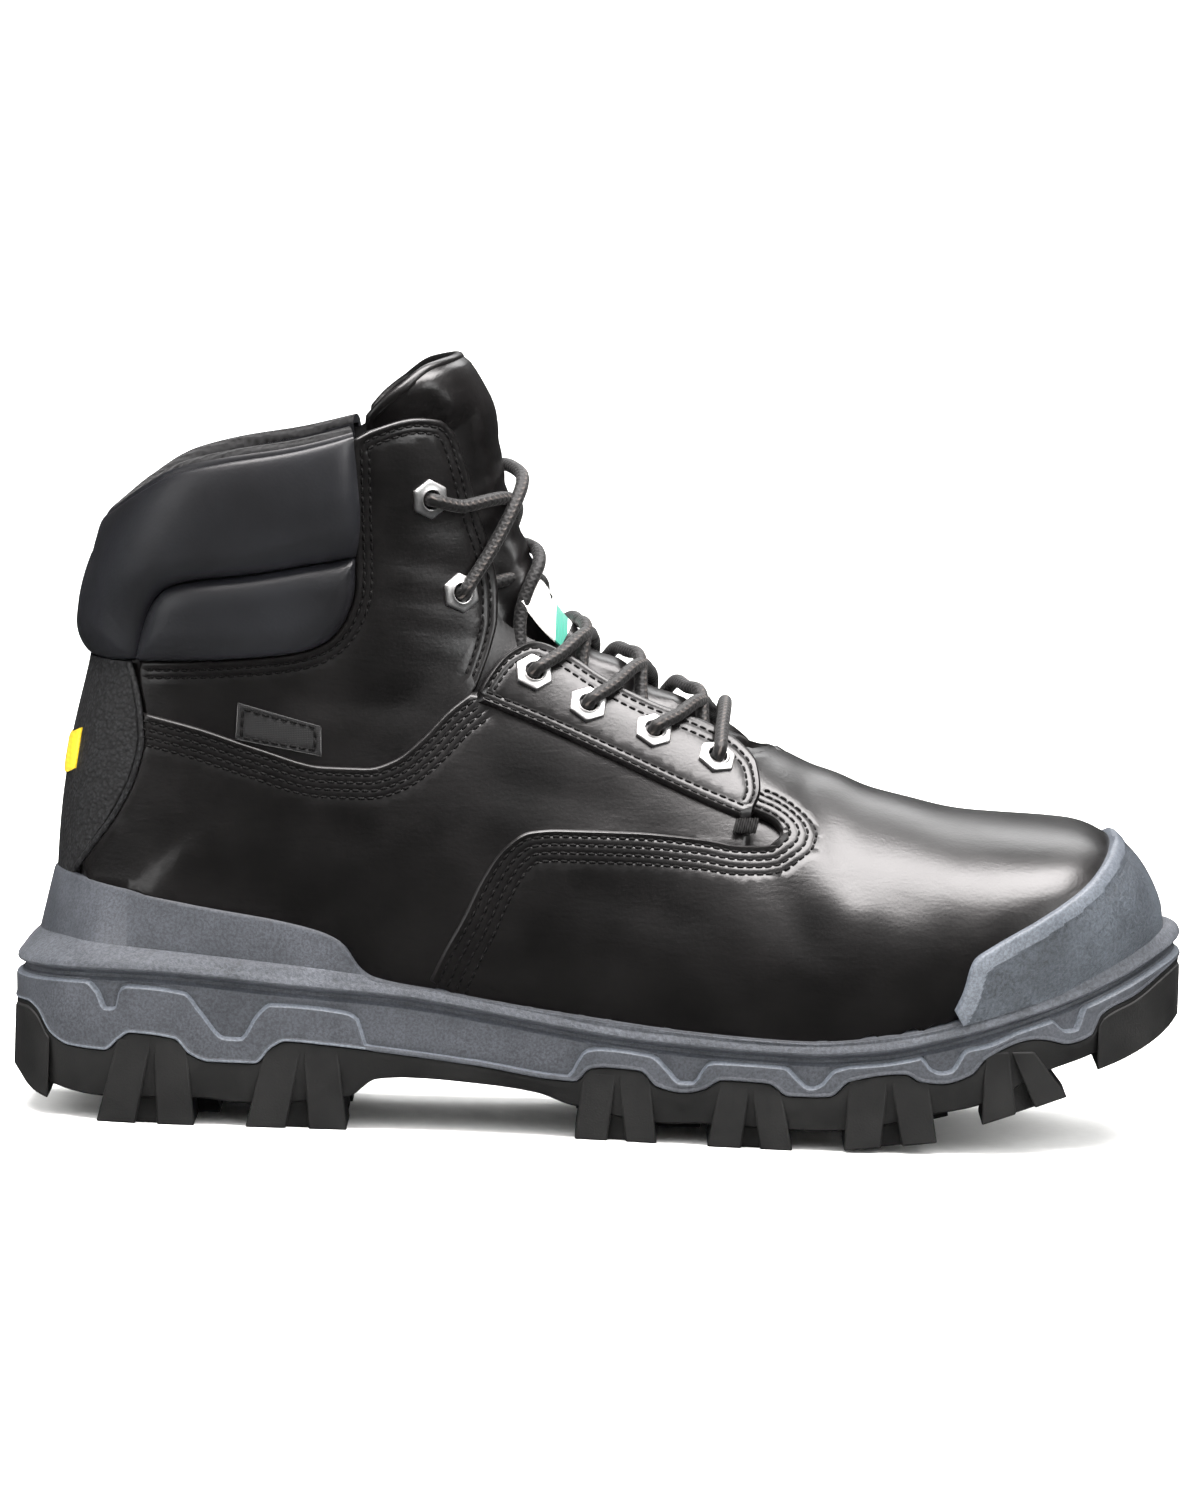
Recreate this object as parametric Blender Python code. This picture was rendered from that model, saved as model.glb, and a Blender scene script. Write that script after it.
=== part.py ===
"""Metatarsal guard boot: a right six-inch lace-up work boot with a covered toe and an inner guard.

The boot stands on its lugs on z = 0 with the toe towards +X and its outer (lateral) side
towards -Y. Lengths below are millimetres, and the finished meshes are in metres.
Every panel is read from one function of the last, surface(t, h, side): t counts the girth
sections from the toe tip to the top of the shaft, h runs up a section from the feather line
(or from the back of the heel) to the instep line.
"""
import math

import bmesh
import bpy
import numpy as np
from mathutils import Matrix, Vector
from mathutils.geometry import delaunay_2d_cdt

# Driving dimensions, in millimetres
LENGTH = 311.0
BALL_WIDTH = 113.0
HEEL_HEIGHT = 36.2
UPPER_RISE = 168.0
TOE_DRIFT = 5.0
FIT = 0.3
FACET_ROOM = 0.5
UPPER_WALL = 2.2
OVERLAY = 1.1
COLLAR_PAD = 6.5
COLLAR_INNER = 3.0
TONGUE_LOW = 4.5
TONGUE_TOP = 8.0
CAP_WALL = 2.8
CAP_LIFT = 1.3
WRAP_WALL = 2.6
INSOLE = 3.2
SIDE_LUG_REACH = 27.0
CENTRE_LUG_REACH = 15.0
LUG_PROUD = 0.6
EYELET_FLATS = 9.4
EYELET_HOLE = 4.8
EYELET_THICK = 1.2
LACE = 5.0
TAG_THICK = 0.9
TAB_STEP = 1.0
MM = 0.001
SEAT = FIT + FACET_ROOM

LATERAL = -1
MEDIAL = 1

# Girth sections of the last. sole and front are shares of LENGTH, lift is a share of
# UPPER_RISE above the feather line, top a share of UPPER_RISE above the heel seat, and the
# two half widths are shares of BALL_WIDTH. widest is the share of the section where it is
# widest, low and high are the roundness below and above it.
SECTIONS = [
    # sole, lift, front, top, lateral, medial, widest, low, high
    (0.9672, 0.0, 0.9722, 0.115, 0.470, 0.480, 0.40, 2.0, 2.4),
    (0.9550, 0.0, 0.9708, 0.142, 0.470, 0.480, 0.40, 2.0, 2.5),
    (0.9100, 0.0, 0.9540, 0.207, 0.475, 0.480, 0.38, 2.0, 2.5),
    (0.8215, 0.0, 0.9035, 0.268, 0.485, 0.475, 0.36, 2.0, 2.4),
    (0.7010, 0.0, 0.8040, 0.281, 0.492, 0.460, 0.32, 2.0, 2.2),
    (0.6330, 0.0, 0.7330, 0.309, 0.478, 0.442, 0.30, 2.0, 2.05),
    (0.5660, 0.0, 0.6590, 0.369, 0.447, 0.407, 0.28, 2.0, 1.95),
    (0.4950, 0.0, 0.5885, 0.442, 0.410, 0.372, 0.27, 2.0, 1.95),
    (0.4180, 0.0, 0.5240, 0.508, 0.382, 0.350, 0.27, 2.0, 1.95),
    (0.3280, 0.0, 0.4730, 0.556, 0.360, 0.332, 0.28, 2.0, 2.0),
    (0.2190, 0.0, 0.4420, 0.608, 0.342, 0.319, 0.30, 2.0, 2.0),
    (0.1160, 0.0, 0.4260, 0.665, 0.328, 0.310, 0.36, 2.1, 2.05),
    (0.0590, 0.0, 0.4190, 0.707, 0.322, 0.308, 0.41, 2.2, 2.1),
    (0.0373, 0.008, 0.4150, 0.740, 0.316, 0.305, 0.44, 2.2, 2.15),
    (0.0405, 0.225, 0.4093, 0.793, 0.303, 0.298, 0.46, 2.2, 2.2),
    (0.0482, 0.362, 0.4051, 0.826, 0.300, 0.297, 0.47, 2.2, 2.2),
    (0.0630, 0.505, 0.3997, 0.865, 0.305, 0.303, 0.48, 2.2, 2.2),
    (0.0691, 0.618, 0.3916, 0.907, 0.312, 0.311, 0.48, 2.2, 2.2),
    (0.0916, 0.868, 0.3650, 1.011, 0.322, 0.322, 0.48, 2.2, 2.2),
]
HEEL_SECTION = 13
LAST_SECTION = len(SECTIONS) - 1

# Plan of the feather line and of the sole: x as a share of LENGTH, half widths of BALL_WIDTH.
FEATHER_PLAN = [
    # x, lateral, medial
    (0.0, 0.301, 0.288),
    (0.150, 0.305, 0.288),
    (0.354, 0.305, 0.262),
    (0.482, 0.340, 0.290),
    (0.611, 0.420, 0.368),
    (0.723, 0.462, 0.428),
    (0.804, 0.462, 0.448),
    (1.0, 0.455, 0.462),
]
SOLE_PLAN = [
    # x, lateral, medial
    (0.0, 0.385, 0.366),
    (0.145, 0.388, 0.366),
    (0.354, 0.384, 0.335),
    (0.482, 0.416, 0.356),
    (0.611, 0.487, 0.428),
    (0.723, 0.522, 0.480),
    (0.804, 0.520, 0.498),
    (1.0, 0.508, 0.510),
]
TOE_START = 0.755
HEEL_END = 0.145
ROUNDNESS = 2.25

# Levels along the sole: x as a share of LENGTH, z as a share of HEEL_HEIGHT.
FLOOR = [(0.0, 1.008), (0.161, 1.0), (0.306, 0.961), (0.418, 0.851), (0.547, 0.727), (0.669, 0.669),
         (0.759, 0.754), (0.842, 0.956), (0.916, 1.215), (0.974, 1.431), (1.0, 1.519)]
LEDGE_TOP = [(0.0, 1.312), (0.097, 1.276), (0.199, 1.215), (0.306, 1.125), (0.373, 1.036),
             (0.468, 0.928), (0.588, 0.834), (0.675, 0.807), (0.761, 0.887), (0.846, 1.097),
             (0.897, 1.262), (0.947, 1.464), (0.978, 1.602), (1.0, 1.685)]
LEDGE_EDGE = [(0.0, 1.077), (0.106, 1.110), (0.244, 1.033), (0.331, 0.983), (0.418, 0.876),
              (0.470, 0.807), (0.537, 0.740), (0.675, 0.696), (0.736, 0.732), (0.794, 0.834),
              (0.846, 0.959), (0.897, 1.102), (0.949, 1.285), (0.986, 1.440), (1.0, 1.500)]
WRAP_TOP = [(0.0, 1.830), (0.057, 1.740), (0.156, 1.599), (0.258, 1.455), (0.280, 1.380),
            (0.300, 1.170), (0.310, 1.120)]
TAB_FOOT = [(0.0, 0.560), (0.053, 0.533), (0.174, 0.470), (0.212, 0.467), (0.265, 0.560),
            (0.402, 0.503), (0.482, 0.420), (0.572, 0.381), (0.679, 0.398), (0.781, 0.522),
            (0.817, 0.586), (0.897, 0.807), (0.965, 1.064), (1.0, 1.229)]
GROUND = [(0.0, 0.304), (0.0084, 0.188), (0.0283, 0.094), (0.077, 0.0), (0.714, 0.0), (0.788, 0.091),
          (0.826, 0.218), (0.900, 0.420), (0.936, 0.594), (1.0, 0.870)]
WEB = [(0.0, 0.442), (0.032, 0.227), (0.077, 0.182), (0.199, 0.171), (0.283, 0.193), (0.322, 0.414),
       (0.418, 0.376), (0.450, 0.318), (0.482, 0.235), (0.515, 0.166), (0.592, 0.149),
       (0.707, 0.149), (0.788, 0.276), (0.826, 0.387), (0.884, 0.622), (0.926, 0.760), (1.0, 1.022)]

# Upper edge of the raised tabs on the side, as a share of HEEL_HEIGHT, and the depth of the step.
TAB_TOP = [(0.0, 1.000), (0.060, 1.010), (0.079, 0.830), (0.094, 0.980), (0.150, 0.960), (0.186, 0.650),
           (0.205, 0.700), (0.223, 0.900), (0.288, 0.850), (0.310, 0.720), (0.402, 0.620), (0.484, 0.490),
           (0.503, 0.660), (0.547, 0.630), (0.575, 0.460), (0.600, 0.610), (0.658, 0.600), (0.686, 0.470),
           (0.712, 0.610), (0.773, 0.710), (0.793, 0.600), (0.812, 0.760), (0.885, 0.980), (0.905, 0.890),
           (0.930, 1.110), (0.982, 1.330), (1.0, 1.380)]

# Lugs along each side of the tread: rear and front as shares of LENGTH, and how far the rubber
# climbs over the foot of the midsole there, as a share of HEEL_HEIGHT.
LUGS = [
    # rear, front, climb
    (0.004, 0.036, 0.20),
    (0.079, 0.162, 0.14),
    (0.205, 0.291, 0.14),
    (0.484, 0.553, 0.12),
    (0.596, 0.667, 0.11),
    (0.712, 0.789, 0.17),
    (0.827, 0.899, 0.17),
    (0.930, 0.985, 0.10),
]
LUG_TAPER = 0.012
CLIMB_RUN = 0.018

# Lines of the upper in side view: x as a share of LENGTH, z as a share of UPPER_RISE above the
# heel seat.
RIM = [(0.079, 0.737), (0.092, 0.764), (0.109, 0.789), (0.135, 0.811), (0.170, 0.832), (0.232, 0.856),
       (0.280, 0.880), (0.309, 0.895), (0.334, 0.904), (0.351, 0.899), (0.363, 0.880)]
THROAT = [(0.6400, 0.392), (0.611, 0.399), (0.580, 0.428), (0.537, 0.458), (0.494, 0.496), (0.459, 0.535),
          (0.431, 0.561), (0.409, 0.590), (0.4032, 0.623), (0.396, 0.686), (0.385, 0.749),
          (0.372, 0.829), (0.363, 0.880)]
VAMP_SEAM = [(0.356, 0.022), (0.368, 0.070), (0.384, 0.126), (0.399, 0.186), (0.417, 0.235),
             (0.439, 0.261), (0.463, 0.265), (0.521, 0.264), (0.584, 0.255), (0.617, 0.246),
             (0.640, 0.246), (0.650, 0.262), (0.645, 0.300), (0.640, 0.345), (0.642, 0.384)]
CAP_EDGE = [(0.7994, 0.014), (0.806, 0.042), (0.814, 0.089), (0.831, 0.112), (0.869, 0.152),
            (0.911, 0.204), (0.930, 0.246), (0.934, 0.262), (0.927, 0.272)]
QUARTER_TOP = [(0.1068, 0.424), (0.152, 0.407), (0.204, 0.379), (0.264, 0.352), (0.299, 0.351),
               (0.320, 0.363), (0.341, 0.393), (0.366, 0.442), (0.385, 0.470)]
EYESTAY_FOOT = [(0.389, 0.454), (0.450, 0.410), (0.5145, 0.359), (0.579, 0.308), (0.617, 0.280)]
EYESTAY_TOP = [(0.389, 0.468), (0.395, 0.490), (0.412, 0.529), (0.4325, 0.544), (0.4585, 0.527),
               (0.494, 0.489), (0.537, 0.451), (0.581, 0.421), (0.611, 0.391), (0.627, 0.358),
               (0.631, 0.320), (0.624, 0.286)]
HEEL_EDGE = [(0.0569, 0.172), (0.069, 0.207), (0.089, 0.265), (0.104, 0.331), (0.109, 0.380),
             (0.107, 0.420), (0.101, 0.474), (0.0965, 0.500)]
PAD_SEAM = [(0.0640, 0.510), (0.103, 0.505), (0.150, 0.510), (0.201, 0.519), (0.236, 0.529),
            (0.261, 0.548), (0.2775, 0.586), (0.2836, 0.634), (0.282, 0.745), (0.2790, 0.858)]
PAD_GROOVE = [(0.1026, 0.514), (0.108, 0.556), (0.114, 0.593), (0.127, 0.621), (0.148, 0.635),
              (0.199, 0.649), (0.2505, 0.668), (0.282, 0.682)]
TONGUE_LINE = [(0.298, 0.905), (0.307, 0.928), (0.322, 0.955), (0.345, 0.986), (0.3680, 0.9999)]
EYELETS = [(0.592, 0.368), (0.538, 0.408), (0.482, 0.447), (0.435, 0.495), (0.3714, 0.625), (0.343, 0.773)]
SIDE_TAG = [(0.188, 0.390), (0.2595, 0.369), (0.2595, 0.411), (0.188, 0.444)]
HEEL_TAB_LOW, HEEL_TAB_HIGH, HEEL_TAB_REACH = 0.3083, 0.3738, 0.055
COLLAR_ROWS, COLLAR_COLUMNS = 15, 8


def smooth(table, x, column=1):
    """Value at x of a table read as a curve that keeps to its points and doesn't overshoot."""
    keys = np.array([row[0] for row in table])
    values = np.array([row[column] for row in table])
    steps = np.diff(keys)
    rates = np.diff(values) / steps
    slopes = np.zeros(len(keys))
    rising = rates[:-1] * rates[1:] > 0
    weight_a = 2 * steps[1:] + steps[:-1]
    weight_b = steps[1:] + 2 * steps[:-1]
    safe_a = np.where(rising, rates[:-1], 1.0)
    safe_b = np.where(rising, rates[1:], 1.0)
    mean = (weight_a + weight_b) / (weight_a / safe_a + weight_b / safe_b)
    slopes[1:-1] = np.where(rising, mean, 0.0)
    slopes[0] = rates[0]
    slopes[-1] = rates[-1]
    x = np.clip(np.asarray(x, float), keys[0], keys[-1])
    i = np.clip(np.searchsorted(keys, x, side="right") - 1, 0, len(steps) - 1)
    u = (x - keys[i]) / steps[i]
    rise = values[i] * (1 + 2 * u) * (1 - u) ** 2 + values[i + 1] * u * u * (3 - 2 * u)
    return rise + steps[i] * u * (1 - u) * (slopes[i] * (1 - u) - slopes[i + 1] * u)


def graph(keys, values):
    """A table of values over rising keys, without keys that all but coincide."""
    rows = []
    for key, value in sorted(zip(keys, values)):
        if not rows or key - rows[-1][0] > 0.0005:
            rows.append((float(key), float(value)))
    return rows


def level(table, x):
    """Height in millimetres of a sole line at x millimetres."""
    return smooth(table, np.asarray(x, float) / LENGTH) * HEEL_HEIGHT


def side_points(line):
    """A side-view line in millimetres, as an array of x and z."""
    return np.array([(x * LENGTH, HEEL_HEIGHT + z * UPPER_RISE) for x, z in line])


def plan_width(table, x, side, heel_x, toe_x):
    """Half width at x of a plan whose heel and toe are closed by round ends."""
    share = np.asarray(x, float) / LENGTH
    width = smooth(table, share, 1 if side == LATERAL else 2) * BALL_WIDTH
    toe = np.clip((x - TOE_START * LENGTH) / (toe_x - TOE_START * LENGTH), 0, 1)
    heel = np.clip((HEEL_END * LENGTH - x) / (HEEL_END * LENGTH - heel_x), 0, 1)
    closing = (1 - toe ** ROUNDNESS) * (1 - heel ** ROUNDNESS)
    return width * closing ** (1 / ROUNDNESS)


def drift(x):
    """How far the centre line swings towards the big toe."""
    return TOE_DRIFT * np.clip((x / LENGTH - 0.6) / 0.4, 0, 1) ** 2


SECTION_COLUMNS = [[(i, row[column]) for i, row in enumerate(SECTIONS)] for column in range(9)]


def section(t):
    """Side-view ends of a girth section: x, z at its foot and x, z at its top."""
    foot_x = smooth(SECTION_COLUMNS[0], t) * LENGTH
    foot_z = level(FLOOR, foot_x) + smooth(SECTION_COLUMNS[1], t) * UPPER_RISE
    top_x = smooth(SECTION_COLUMNS[2], t) * LENGTH
    top_z = HEEL_HEIGHT + smooth(SECTION_COLUMNS[3], t) * UPPER_RISE
    return foot_x, foot_z, top_x, top_z


TOE_X = SECTIONS[0][0] * LENGTH
HEEL_X = SECTIONS[HEEL_SECTION][0] * LENGTH


def surface(t, h, side):
    """Point of the last's outer face, in millimetres."""
    t, h = np.broadcast_arrays(np.asarray(t, float), np.clip(np.asarray(h, float), 0, 1))
    foot_x, foot_z, top_x, top_z = section(t)
    column = 4 if side == LATERAL else 5
    toe = np.clip((foot_x / LENGTH - TOE_START) / (TOE_X / LENGTH - TOE_START), 0, 1)
    closing = np.clip(1 - toe ** ROUNDNESS, 0, 1) ** (1 / ROUNDNESS)
    width = smooth(SECTION_COLUMNS[column], t) * BALL_WIDTH * closing
    foot = np.where(t < HEEL_SECTION, plan_width(FEATHER_PLAN, foot_x, side, HEEL_X, TOE_X), 0.0)
    widest = smooth(SECTION_COLUMNS[6], t)
    low = smooth(SECTION_COLUMNS[7], t)
    high = smooth(SECTION_COLUMNS[8], t)
    below = np.clip(1 - h / widest, 0, 1)
    above = np.clip((h - widest) / (1 - widest), 0, 1)
    y_low = foot + (width - foot) * (1 - below ** low) ** (1 / low)
    y_high = width * (1 - above ** high) ** (1 / high)
    y = np.where(h < widest, y_low, y_high)
    x = foot_x + (top_x - foot_x) * h
    z = foot_z + (top_z - foot_z) * h
    return np.stack([x, drift(x) + side * y, z], axis=-1)


def outward(t, h, side):
    """Unit normal of the last, pointing away from the foot."""
    t, h = np.broadcast_arrays(np.asarray(t, float), np.asarray(h, float))
    step_t, step_h = 0.02, 0.004
    along = (surface(np.clip(t + step_t, 0, LAST_SECTION), h, side)
             - surface(np.clip(t - step_t, 0, LAST_SECTION), h, side))
    up = surface(t, np.clip(h + step_h, 0, 1), side) - surface(t, np.clip(h - step_h, 0, 1), side)
    normal = np.cross(along, up) * side
    length = np.linalg.norm(normal, axis=-1, keepdims=True)
    return normal / np.maximum(length, 1e-9)


def skin(t, h, side, off):
    """Point at a distance off outside the last's face."""
    off = np.asarray(off, float)[..., None]
    return surface(t, h, side) + outward(t, h, side) * off


FINE_T = np.linspace(0, LAST_SECTION, 1801)
FINE_SECTION = section(FINE_T)


def locate(x, z):
    """Section number and share of the section for a side-view point."""
    x = np.asarray(x, float)
    z = np.asarray(z, float)
    foot_x, foot_z, top_x, top_z = (a[None, :] for a in FINE_SECTION)
    px, pz = x.reshape(-1, 1), z.reshape(-1, 1)
    turn = (top_x - foot_x) * (pz - foot_z) - (top_z - foot_z) * (px - foot_x)
    passed = turn <= 0
    passed[:, -1] = True
    i = np.clip(np.argmax(passed, axis=1), 1, len(FINE_T) - 1)
    rows = np.arange(len(i))
    a, b = turn[rows, i - 1], turn[rows, i]
    u = np.clip(a / np.where(np.abs(a - b) < 1e-12, 1.0, a - b), 0, 1)
    t = (FINE_T[i - 1] + u * (FINE_T[i] - FINE_T[i - 1])).reshape(x.shape)
    fx, fz, tx, tz = section(t)
    span = (tx - fx) ** 2 + (tz - fz) ** 2
    h = ((x - fx) * (tx - fx) + (z - fz) * (tz - fz)) / span
    return t, np.clip(h, 0, 1)


def even(u):
    return u


def close_at_end(u):
    """Stations that crowd towards the end of a line."""
    return np.sin(np.pi / 2 * u)


def close_at_start(u):
    """Stations that crowd towards the start of a line."""
    return 1 - np.cos(np.pi / 2 * u)


def resample(points, count, spacing=even):
    """A polyline read at stations along it, as a smooth curve through its points."""
    run = np.concatenate([[0], np.cumsum(np.linalg.norm(np.diff(points, axis=0), axis=1))])
    at = spacing(np.linspace(0, 1, count)) * run[-1]
    return np.stack([smooth(list(zip(run, points[:, k])), at) for k in range(points.shape[1])], axis=-1)


def distance(points, line):
    """Distance of each side-view point to a polyline."""
    a, b = line[:-1][None], line[1:][None]
    p = points[:, None, :]
    share = ((p - a) * (b - a)).sum(-1) / np.maximum(((b - a) ** 2).sum(-1), 1e-9)
    foot = a + (b - a) * np.clip(share, 0, 1)[..., None]
    return np.linalg.norm(p - foot, axis=-1).min(axis=1)


def clear_scene():
    for item in list(bpy.data.objects):
        bpy.data.objects.remove(item, do_unlink=True)


def finish_material(name, colour, roughness, metallic=0.0):
    material = bpy.data.materials.new(name)
    material.use_nodes = True
    shader = material.node_tree.nodes["Principled BSDF"]
    shader.inputs["Base Color"].default_value = (*colour, 1.0)
    shader.inputs["Roughness"].default_value = roughness
    shader.inputs["Metallic"].default_value = metallic
    return material


def add_object(name, vertices, faces, material, sharp=35.0):
    """A mesh object in metres with its faces turned outwards."""
    mesh = bpy.data.meshes.new(name)
    mesh.from_pydata([tuple(v) for v in np.asarray(vertices) * MM], [], faces)
    work = bmesh.new()
    work.from_mesh(mesh)
    bmesh.ops.triangulate(work, faces=work.faces)
    bmesh.ops.recalc_face_normals(work, faces=work.faces)
    work.to_mesh(mesh)
    work.free()
    mesh.shade_smooth()
    mesh.set_sharp_from_angle(angle=math.radians(sharp))
    item = bpy.data.objects.new(name, mesh)
    bpy.context.collection.objects.link(item)
    item.data.materials.append(material)
    return item


def thick_sheet(name, outer, inner, faces, material):
    """A closed solid between two sheets that share their faces, walled along the free edges."""
    count = len(outer)
    edges = {}
    for face in faces:
        for a, b in zip(face, face[1:] + face[:1]):
            edges[(a, b)] = edges.get((a, b), 0) + 1
    free = [edge for edge in edges if (edge[1], edge[0]) not in edges]
    shell = [tuple(face) for face in faces]
    shell += [tuple(i + count for i in reversed(face)) for face in faces]
    shell += [(b, a, a + count, b + count) for a, b in free]
    return add_object(name, np.concatenate([outer, inner]), shell, material)


def two_sided(rows, columns, shared):
    """Index grids of a lateral and a medial half that share the points where shared says so."""
    lateral = np.arange((rows + 1) * (columns + 1)).reshape(rows + 1, columns + 1)
    medial = np.zeros_like(lateral)
    count = lateral.size
    for i in range(rows + 1):
        for j in range(columns + 1):
            if shared(i, j):
                medial[i, j] = lateral[i, j]
            else:
                medial[i, j] = count
                count += 1
    faces = []
    for i in range(rows):
        for j in range(columns):
            faces.append([lateral[i, j], lateral[i + 1, j], lateral[i + 1, j + 1], lateral[i, j + 1]])
            faces.append([medial[i, j], medial[i, j + 1], medial[i + 1, j + 1], medial[i + 1, j]])
    return lateral, medial, count, [[int(k) for k in face] for face in faces]


def both_sides(t, h, off, grids):
    """Points of a two-sided sheet, the mean of both halves where they share a point."""
    lateral, medial, count, _ = grids
    points = np.zeros((count, 3))
    weight = np.zeros((count, 1))
    for index, side in ((lateral, LATERAL), (medial, MEDIAL)):
        found = skin(t, h, side, off).reshape(-1, 3)
        np.add.at(points, index.reshape(-1), found)
        np.add.at(weight, index.reshape(-1), 1.0)
    return points / weight


def wrapped(name, t, h, low, high, shared, material):
    """A two-sided sheet of the last between the distances low and high."""
    grids = two_sided(t.shape[0] - 1, t.shape[1] - 1, shared)
    outer = both_sides(t, h, high, grids)
    inner = both_sides(t, h, low, grids)
    return thick_sheet(name, outer, inner, grids[3], material)


def between(line_a, line_b, rows, columns, spacing):
    """Side-view grid between two lines, and where it lies on the last."""
    a, b = resample(line_a, rows + 1, spacing), resample(line_b, rows + 1, spacing)
    share = np.linspace(0, 1, columns + 1)[None, :, None]
    grid = a[:, None, :] * (1 - share) + b[:, None, :] * share
    ends = [locate(line[:, 0], line[:, 1]) for line in (a, b)]
    t = ends[0][0][:, None] * (1 - share[..., 0]) + ends[1][0][:, None] * share[..., 0]
    h = ends[0][1][:, None] * (1 - share[..., 0]) + ends[1][1][:, None] * share[..., 0]
    return grid, t, h


def panel(name, outline, side, low, high, pitch, material):
    """An overlay cut to a side-view outline, between the distances low and high."""
    outline = np.asarray(outline)
    low_corner, high_corner = outline.min(axis=0), outline.max(axis=0)
    xs = np.arange(low_corner[0] + pitch / 2, high_corner[0], pitch)
    zs = np.arange(low_corner[1] + pitch / 2, high_corner[1], pitch)
    grid = np.array([(x, z) for x in xs for z in zs])
    ring = np.concatenate([outline, outline[:1]])
    inside = np.zeros(len(grid), bool)
    for (ax, az), (bx, bz) in zip(ring[:-1], ring[1:]):
        crosses = (az > grid[:, 1]) != (bz > grid[:, 1])
        at = ax + (grid[:, 1] - az) * (bx - ax) / (bz - az if bz != az else 1.0)
        inside ^= crosses & (grid[:, 0] < at)
    grid = grid[inside & (distance(grid, ring) > pitch * 0.45)]
    seeds = [Vector(p) for p in np.concatenate([outline, grid])]
    edges = [(i, (i + 1) % len(outline)) for i in range(len(outline))]
    cut = delaunay_2d_cdt(seeds, edges, [], 1, 1e-6)
    points = np.array([(p.x, p.y) for p in cut[0]])
    t, h = locate(points[:, 0], points[:, 1])
    outer, inner = skin(t, h, side, np.full(len(t), high)), skin(t, h, side, np.full(len(t), low))
    return thick_sheet(name, outer, inner, [list(face) for face in cut[2]], material)


def make_upper(material):
    """The hollow upper: one wall from the feather line to the rim, open at throat and foot."""
    toe_part = np.array([0.0, 0.08, 0.28, 0.55, 0.85, 1.2, 1.6, 2.0, 2.45])
    stations = np.concatenate([toe_part, np.linspace(3.0, LAST_SECTION, 24)]) / LAST_SECTION
    shares = (1 - np.cos(np.pi * np.linspace(0, 1, 12))) / 2
    throat_t, throat_h = locate(*side_points(THROAT).T)
    throat_t[0] = np.interp(THROAT[0][0], [0.588, 0.659], [7.0, 6.0])
    throat_h[0] = 1.0
    throat = graph(throat_t, throat_h)
    rim_t, rim_h = locate(*side_points(RIM).T)
    rim_h[0] = 0.0
    rim = graph(rim_h, rim_t)
    start = throat[0][0]
    nearest = int(np.argmin(np.abs(stations * LAST_SECTION - start)))
    t = np.zeros((len(stations), len(shares)))
    h = np.zeros_like(t)
    for i, station in enumerate(stations):
        for j, share in enumerate(shares):
            height = share
            for _ in range(3):
                reach = smooth(rim, height)
                t[i, j] = station * LAST_SECTION if i <= nearest else (
                    start + (reach - start) * (station - stations[nearest]) / (1 - stations[nearest]))
                if i == nearest:
                    t[i, j] = start
                height = share * (1.0 if i <= nearest else smooth(throat, t[i, j]))
            h[i, j] = height
    heel_row = int(np.argmin(np.abs(t[:, 0] - HEEL_SECTION)))
    t[heel_row, :3] = HEEL_SECTION + (t[heel_row, :3] - t[heel_row, 0])
    top = len(shares) - 1

    def shared(i, j):
        return i == 0 or (j == top and i <= nearest) or (j == 0 and i >= heel_row)

    where = surface(t, h, LATERAL)
    side_view = where[..., [0, 2]].reshape(-1, 2)
    above_pad = np.clip((where[..., 2] - side_points(PAD_SEAM)[0, 1]) / 14.0, 0, 1)
    behind_pad = np.clip((side_points(PAD_SEAM)[-1, 0] - 2.0 - where[..., 0]) / 12.0, 0, 1)
    rim_gap = distance(side_view, side_points(RIM)).reshape(t.shape)
    lining = COLLAR_INNER * above_pad * behind_pad * np.clip(rim_gap / 8.0, 0.35, 1)
    wrapped("upper", t, h, -(UPPER_WALL + lining), np.zeros_like(t), shared, material)
    return throat, rim


def make_cap(material):
    """The moulded toe cap, from the ledge around the toe to its rear edge over the vamp."""
    edge = side_points(CAP_EDGE)
    xs = np.linspace(edge[0, 0] + 3.0, toe_front(LEDGE_TOP, CAP_LIFT), 16)
    ledge = np.stack([xs, level(LEDGE_TOP, xs) + CAP_LIFT], axis=-1)
    grid, t, h = between(ledge, edge, 12, 5, close_at_end)
    ledge_t = line_crossing(LEDGE_TOP, CAP_LIFT)
    t[-1] = np.linspace(ledge_t, locate(edge[-1, 0], edge[-1, 1])[0], 6)
    h[-1] = 1.0
    rim = np.clip(distance(grid.reshape(-1, 2), edge).reshape(t.shape) / 3.0, 0, 1)
    wall = SEAT + CAP_WALL * (0.8 + 0.2 * rim)
    last = t.shape[0] - 1
    wrapped("toe_cap", t, h, np.full_like(t, SEAT + 1.2 * FACET_ROOM), wall, lambda i, j: i == last, material)


def line_crossing(table, add):
    """Section whose top lies on a sole line raised by add, at the front of the toe."""
    ts = np.linspace(0, 3, 601)
    _, _, top_x, top_z = section(ts)
    return float(ts[np.argmax(top_z >= level(table, top_x) + add)])


def toe_front(table, add):
    """How far forward the upper reaches on a sole line raised by add."""
    foot_x, foot_z, top_x, top_z = section(line_crossing(table, add))
    share = np.clip((level(table, foot_x) + add - foot_z) / (top_z - foot_z), 0, 1)
    return float(foot_x + (top_x - foot_x) * share)


def heel_back(table, add):
    """How far back the upper reaches on a sole line."""
    ts = np.linspace(HEEL_SECTION, LAST_SECTION, 1201)
    foot_x, foot_z, _, _ = section(ts)
    return float(foot_x[np.argmax(foot_z >= level(table, foot_x) + add)])


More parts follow.
